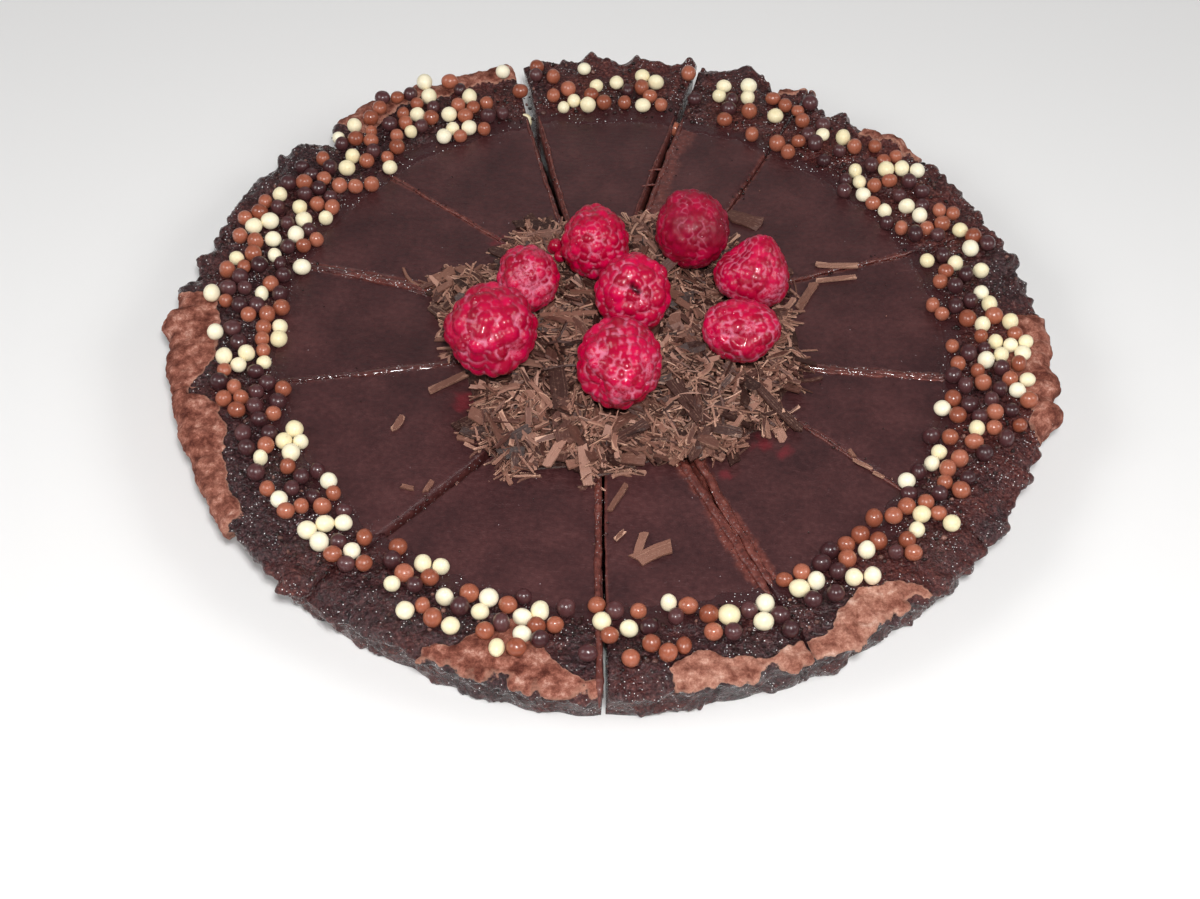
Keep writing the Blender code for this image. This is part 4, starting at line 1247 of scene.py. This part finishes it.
def loose_shavings(heap_top):
    """Place, heading, size and tone of every small shaving on the heap and around it."""
    berries = []
    for number in range(1, BERRIES + 1):
        low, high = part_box(f"raspberry_{number}")
        berries.append(((low + high) / 2.0 / MM, (high - low) / 2.0 / MM))
    made = []
    while len(made) < SPLINTERS:
        direction = rng.uniform(0.0, TURN)
        reach = heap_outline(direction)
        reach *= 0.97 + 0.08 * float(noise(np.array([direction * 50.0, 0.0, 0.0]), 4.0, 165))
        radius = reach * min(math.sqrt(rng.random()) * 0.99 + abs(rng.normal(0.0, 0.02)), 1.08)
        x, y = radius * math.cos(direction), radius * math.sin(direction)
        covered = any(
            math.hypot((x - middle.x) / half.x, (y - middle.y) / half.y) < 0.72 for middle, half in berries
        )
        if covered:
            continue
        kind = rng.random()
        if kind < 0.80:
            length, width, thickness = rng.uniform(2.5, 9.5), rng.uniform(0.28, 0.75), rng.uniform(0.25, 0.5)
        elif kind < 0.94:
            length, width, thickness = rng.uniform(4.0, 11.0), rng.uniform(0.8, 1.6), rng.uniform(0.35, 0.6)
        else:
            length, width, thickness = rng.uniform(6.0, 13.0), rng.uniform(1.8, 3.6), rng.uniform(0.5, 0.8)
        share = radius / reach
        height = heap_top(x, y) + rng.uniform(-2.2, 0.7) * (1.0 if share < 0.95 else 0.2) + 0.3
        steep = 22.0 * (1.0 - 0.8 * smooth_step((share - 0.75) / 0.25))
        # Bundles lie the same way; at the edge the shavings point outwards.
        heading = 220.0 * float(noise(np.array([x, y, 0.0]), 9.0, 164)) + rng.normal(0.0, 36.0)
        if rng.random() < 1.0 * (share - 0.45):
            heading = math.degrees(direction) + 100.0 * float(noise(np.array([x, y, 9.0]), 7.0, 166))
            heading += rng.normal(0.0, 34.0)
        made.append((
            x, y, height, heading, rng.normal(0.0, steep * 0.7), rng.normal(0.0, steep * 1.6),
            length, width, thickness, rng.random() ** (1.0 if width < 1.8 else 2.2),
            rng.normal(0.0, 0.07 * length),
        ))
    return made


def sliver_points(spot):
    """One thin shaving: torn unevenly along both sides and its ends, bent and twisted."""
    x, y, height, heading, pitch, roll, length, width, thickness, _, bend = spot
    stations = np.linspace(-0.5, 0.5, SLIVER_STATIONS)
    spread = 1.0 + rng.normal(0.0, 0.11, (3, SLIVER_STATIONS))
    spread[:, [0, -1]] *= rng.uniform(0.85 if width > 1.0 else 0.5, 1.1, 2)
    spread = spread[[0, 1, 2, 2, 1, 0]]
    section = np.zeros((len(SLIVER_SECTION), SLIVER_STATIONS, 3))
    section[..., 0] = stations * length
    skew = rng.normal(0.0, 0.2 * width, (3, 2))[[0, 1, 2, 2, 1, 0]]
    section[:, 0, 0] += skew[:, 0]
    section[:, -1, 0] += skew[:, 1]
    curl = 2.2 * rng.normal(0.0, abs(bend)) / (1.0 + 1.2 * width)
    section[..., 1] = SLIVER_SECTION[:, :1] * width * spread + curl * (4.0 * stations**2 - 0.4)
    section[..., 2] = SLIVER_SECTION[:, 1:] * thickness
    twist = rng.normal(0.0, 0.22) * stations
    across, tall = section[..., 1].copy(), section[..., 2].copy()
    section[..., 1] = across * np.cos(twist) - tall * np.sin(twist)
    section[..., 2] = across * np.sin(twist) + tall * np.cos(twist)
    section[..., 2] += bend * (4.0 * stations**2 - 0.4) + rng.normal(0.0, 0.05, SLIVER_STATIONS)
    turn = (
        Euler((0.0, 0.0, math.radians(heading))).to_matrix()
        @ Euler((math.radians(roll), math.radians(pitch), 0.0)).to_matrix()
    )
    return section.reshape(-1, 3) @ np.array(turn).T + (x, y, height)


def build_slivers(name, spots, material):
    rings, stations = len(SLIVER_SECTION), SLIVER_STATIONS
    pattern = skin_faces(rings, stations)[:-2]
    for cap in SLIVER_CAPS:
        pattern.append([corner * stations for corner in cap])
        pattern.append([corner * stations + stations - 1 for corner in reversed(cap)])
    edge = np.repeat(2.0 * np.abs(SLIVER_SECTION[:, :1]), stations, axis=1)
    edge[:, [0, -1]] = 1.0
    points = np.vstack([sliver_points(spot) for spot in spots])
    points[:, 2] = np.maximum(points[:, 2], GLAZE_HEIGHT - 0.4)
    across = [np.repeat(SLIVER_SECTION[:, 0] * spot[7], stations) + 40.0 * spot[9] for spot in spots]
    # A wide shaving shows less of its broken edge.
    shown = np.minimum(1.0, 1.7 / np.array([spot[7] for spot in spots]))
    make_piece(
        name, points, copied_faces(len(spots), pattern, rings * stations), material,
        smooth=False,
        values={
            "edge": np.tile(edge.ravel(), len(spots)),
            "tint": np.repeat([spot[9] for spot in spots], rings * stations),
            "brittle": np.repeat(shown * rng.beta(1.1, 1.3, len(spots)), rings * stations),
            "across": np.concatenate(across),
        },
    )


def large_spots(heap_top):
    spots = []
    for x, y, heading, length, width, paleness in LARGE_SHAVINGS:
        reach = np.array([-0.35, 0.0, 0.35]) * length
        along = np.radians(heading)
        heights = [heap_top(x + step * math.cos(along), y + step * math.sin(along)) for step in reach]
        pitch = -math.degrees(math.atan2(heights[2] - heights[0], reach[2] - reach[0]))
        spots.append((
            x, y, max(heights) + 0.55, heading, pitch, rng.normal(0.0, 5.0),
            length, width, 0.6, paleness, rng.normal(0.0, 0.25),
        ))
    return spots


# ---------------------------------------------------------------------------
# Pearls and crumbs
# ---------------------------------------------------------------------------

PEARL_RADIUS = 2.22
PEARL_INNER = 91.0

# Pearls spilled on each stretch of the rim, 15 degrees at a time from direction 0:
# how many ivory, milk chocolate and dark chocolate ones, and how far out they reach.
PEARL_SPILLS = [
    (6, 8, 6, 112.0), (6, 8, 6, 112.0), (7, 5, 6, 112.0), (2, 6, 5, 113.0), (5, 6, 3, 114.0),
    (3, 6, 2, 115.0), (6, 6, 1, 116.0), (5, 8, 3, 117.0), (8, 12, 6, 117.0), (4, 10, 8, 112.0),
    (10, 8, 6, 112.0), (7, 10, 8, 110.0), (3, 7, 8, 108.0), (6, 3, 6, 105.0), (5, 4, 3, 104.0),
    (4, 6, 5, 104.0), (5, 5, 3, 107.0), (5, 5, 4, 110.0), (2, 6, 2, 108.0), (5, 4, 5, 108.0),
    (3, 4, 4, 104.0), (5, 11, 5, 106.0), (4, 6, 6, 108.0), (8, 8, 6, 112.0),
]
PEARL_CLUSTERING = 0.6
CRUMBS = 1250
GLAZE_CRUMBS = 70
# Crumbs that fell along the ragged cuts: cut and how many.
CUT_CRUMBS = [(0, 22), (1, 45), (3, 14), (4, 12), (5, 8), (7, 30), (8, 14), (10, 24)]


def scatter_pearls(rim_top):
    """Places of all pearls, by kind: most roll up against one that already lies there."""
    placed = []
    kinds = ([], [], [])
    for stretch, counts in enumerate(PEARL_SPILLS):
        outer = counts[-1]
        order = [kind for kind, count in enumerate(counts[:-1]) for _ in range(count)]
        rng.shuffle(order)
        local = []
        for kind in order:
            radius = PEARL_RADIUS * rng.normal(1.0, 0.06)
            for _ in range(200):
                if local and rng.random() < PEARL_CLUSTERING:
                    x, y, _, other = local[rng.integers(len(local))]
                    turn = rng.uniform(0.0, TURN)
                    gap = (radius + other) * rng.uniform(1.0, 1.06)
                    x, y = x + gap * math.cos(turn), y + gap * math.sin(turn)
                else:
                    direction = math.radians(15.0 * (stretch + rng.random()))
                    far = PEARL_INNER + (outer - PEARL_INNER) * rng.beta(1.8, 2.0)
                    x, y = far * math.cos(direction), far * math.sin(direction)
                far = math.hypot(x, y)
                free = all(math.hypot(x - q[0], y - q[1]) > 0.96 * (radius + q[3]) for q in placed)
                if free and PEARL_INNER - 1.0 < far < outer + 1.0:
                    break
            else:
                continue
            under = [rim_top(x + step * radius, y) for step in (-0.5, 0.0, 0.5)]
            spot = (x, y, sum(under) / len(under) + 0.86 * radius, radius)
            placed.append(spot)
            local.append(spot)
            kinds[kind].append(spot)
    return kinds


def pearl_ball(steps):
    """Points and faces of a ball made from a cube, so that its faces are even."""
    builder = bmesh.new()
    bmesh.ops.create_cube(builder, size=2.0)
    bmesh.ops.subdivide_edges(builder, edges=builder.edges, cuts=steps, use_grid_fill=True)
    points = np.array([vert.co for vert in builder.verts])
    faces = [[vert.index for vert in face.verts] for face in builder.faces]
    builder.free()
    points = np.tan(points * math.pi / 4.0)
    return points / np.linalg.norm(points, axis=1, keepdims=True), faces


def build_pearls(name, spots, material):
    ball_points, ball_faces = pearl_ball(5)
    points = []
    tints = []
    for x, y, z, radius in spots:
        oval = rng.normal(1.0, 0.05, 3)
        place = ball_points * radius * oval + (x, y, z)
        place += ball_points * (0.10 * noise(place, 1.8, 200))[:, None]
        points.append(place)
        tints.append(np.full(len(ball_points), rng.random() * 0.5))
    make_piece(
        name, np.vstack(points), copied_faces(len(spots), ball_faces, len(ball_points)), material,
        values={"tint": np.concatenate(tints)},
    )


def crumb_places():
    """Where loose crumbs lie, and how big each is: on the rim, along cuts, on the glaze."""
    made = []
    while len(made) < CRUMBS:
        direction, far = rng.uniform(0.0, TURN), rng.uniform(93.0, 118.5)
        reach, _ = skin_reach(np.array([far]), np.array([direction]), np.array([RIM_HEIGHT]))
        if reach[0] < -2.4 and far < 112.0 + 6.0 * (math.sin(direction) > -0.3):
            made.append((far, direction, rng.uniform(0.3, 0.8)))
    for cut, count in CUT_CRUMBS:
        for far in rng.uniform(50.0, 94.0, count):
            direction = float(cut_direction(cut, far)) + rng.normal(0.0, 0.9) / far
            made.append((far, direction, rng.uniform(0.2, 0.55)))
    for _ in range(GLAZE_CRUMBS):
        made.append((rng.uniform(55.0, 92.0), rng.uniform(0.0, TURN), rng.uniform(0.12, 0.32)))
    return made


def build_crumbs(rim_top, material):
    ball_points, ball_faces = ball(1)
    points = []
    tints = []
    for index, (far, direction, size) in enumerate(crumb_places()):
        lump = ball_points * (1.0 + 0.45 * noise(ball_points * 1.7 + index * 5.0, 1.0, 210))[:, None]
        lump = lump * size * rng.uniform(0.6, 1.2, 3)
        place = polar(far, direction, 0.0)
        place[2] = rim_top(place[0], place[1]) + 0.25 * size
        points.append(lump + place)
        tints.append(np.full(len(ball_points), rng.random() ** 1.5))
    make_piece(
        "loose_crumbs", np.vstack(points), copied_faces(len(points), ball_faces, len(ball_points)),
        material, values={"tint": np.concatenate(tints)},
    )


# ---------------------------------------------------------------------------
# Floor, light and camera
# ---------------------------------------------------------------------------

CAMERA_ELEVATION = 49.87
CAMERA_DISTANCE = 510.6
CAMERA_AIM = (-2.4, -25.0, 0.0)
CAMERA_ROLL = 2.17
CAMERA_LENS = 56.2


def aim(item, target, roll=0.0):
    """Point a lamp's or camera's -Z at a target, in metres."""
    way = Vector(target) - item.location
    item.rotation_mode = "QUATERNION"
    item.rotation_quaternion = way.to_track_quat("-Z", "Y") @ Euler((0.0, 0.0, roll)).to_quaternion()


def add_softbox(name, place, size, power):
    lamp = bpy.data.lights.new(name, "AREA")
    lamp.shape = "DISK"
    lamp.size = size
    lamp.energy = power
    item = bpy.data.objects.new(name, lamp)
    item.location = place
    bpy.context.scene.collection.objects.link(item)
    aim(item, (0.0, 0.0, 0.0))


def build_studio():
    floor_mesh = bpy.data.meshes.new("floor")
    reach = 4.0
    floor_mesh.from_pydata(
        [(-reach, -reach, 0.0), (reach, -reach, 0.0), (reach, reach, 0.0), (-reach, reach, 0.0)],
        [], [(0, 1, 2, 3)],
    )
    floor = bpy.data.objects.new("floor", floor_mesh)
    bpy.context.scene.collection.objects.link(floor)
    material, _, _, _ = start_material("matt_white_card", Roughness=0.9, IOR=1.4)
    material.node_tree.nodes["Principled BSDF"].inputs["Base Color"].default_value = linear("#f1f0ef")
    floor_mesh.materials.append(material)

    world = bpy.data.worlds.new("studio")
    world.use_nodes = True
    world.node_tree.nodes["Background"].inputs["Color"].default_value = (1.0, 1.0, 1.0, 1.0)
    world.node_tree.nodes["Background"].inputs["Strength"].default_value = 0.15
    bpy.context.scene.world = world

    add_softbox("front_softbox", (0.02, -0.37, 0.50), 0.07, 2.8)
    add_softbox("left_softbox", (-0.95, -0.35, 0.85), 0.6, 5.0)
    add_softbox("right_softbox", (0.95, -0.25, 0.85), 0.6, 4.4)
    add_softbox("back_softbox", (0.0, 1.1, 0.75), 0.8, 0.7)


def build_camera():
    lens = bpy.data.cameras.new("camera")
    lens.lens = CAMERA_LENS
    lens.sensor_width = 36.0
    camera = bpy.data.objects.new("camera", lens)
    tilt = math.radians(CAMERA_ELEVATION)
    back = Vector((0.0, -math.cos(tilt), math.sin(tilt))) * CAMERA_DISTANCE
    camera.location = (Vector(CAMERA_AIM) + back) * MM
    bpy.context.scene.collection.objects.link(camera)
    aim(camera, Vector(CAMERA_AIM) * MM, math.radians(CAMERA_ROLL))
    bpy.context.scene.camera = camera
    bpy.context.scene.view_settings.view_transform = "Standard"


def build_tart():
    crust_material = cocoa_crust()
    ganache_material = dark_ganache()
    slices = []
    for wedge in wedges:
        slices.append(build_crust_slice(wedge, crust_material))
        slices.append(build_filling_slice(wedge, ganache_material))
    rim_top = Resting(slices)
    build_ganache_beads(ganache_material)
    flesh_material = raspberry_flesh()
    for number in range(1, BERRIES + 1):
        build_raspberry(number, flesh_material)
    build_loose_drupelets(flesh_material)
    shaved_material = shaved_chocolate()
    heap_top = Resting([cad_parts["chocolate_shavings"]])
    build_heap_core(heap_top, shaved_material)
    build_slivers("loose_shavings", loose_shavings(heap_top), shaved_material)
    build_slivers("large_shavings", large_spots(heap_top), shaved_material)
    ivory, milk, dark = scatter_pearls(rim_top)
    build_pearls("ivory_pearls", ivory, pearl_coating(
        "ivory_chocolate_coating",
        [(0.2, "#f3e3b4"), (0.6, "#fbf0cf"), (1.0, "#fff9e6")], 0.42, 0.1))
    build_pearls("milk_chocolate_pearls", milk, pearl_coating(
        "milk_chocolate_coating",
        [(0.2, "#8a4833"), (0.6, "#a65f47"), (1.0, "#bc755e")], 0.30, 0.35))
    build_pearls("dark_chocolate_pearls", dark, pearl_coating(
        "dark_chocolate_coating",
        [(0.2, "#3b1e21"), (0.6, "#502d2f"), (1.0, "#6a4443")], 0.32, 0.3))
    build_crumbs(rim_top, moist_crumbs())


build_studio()
build_camera()
build_tart()
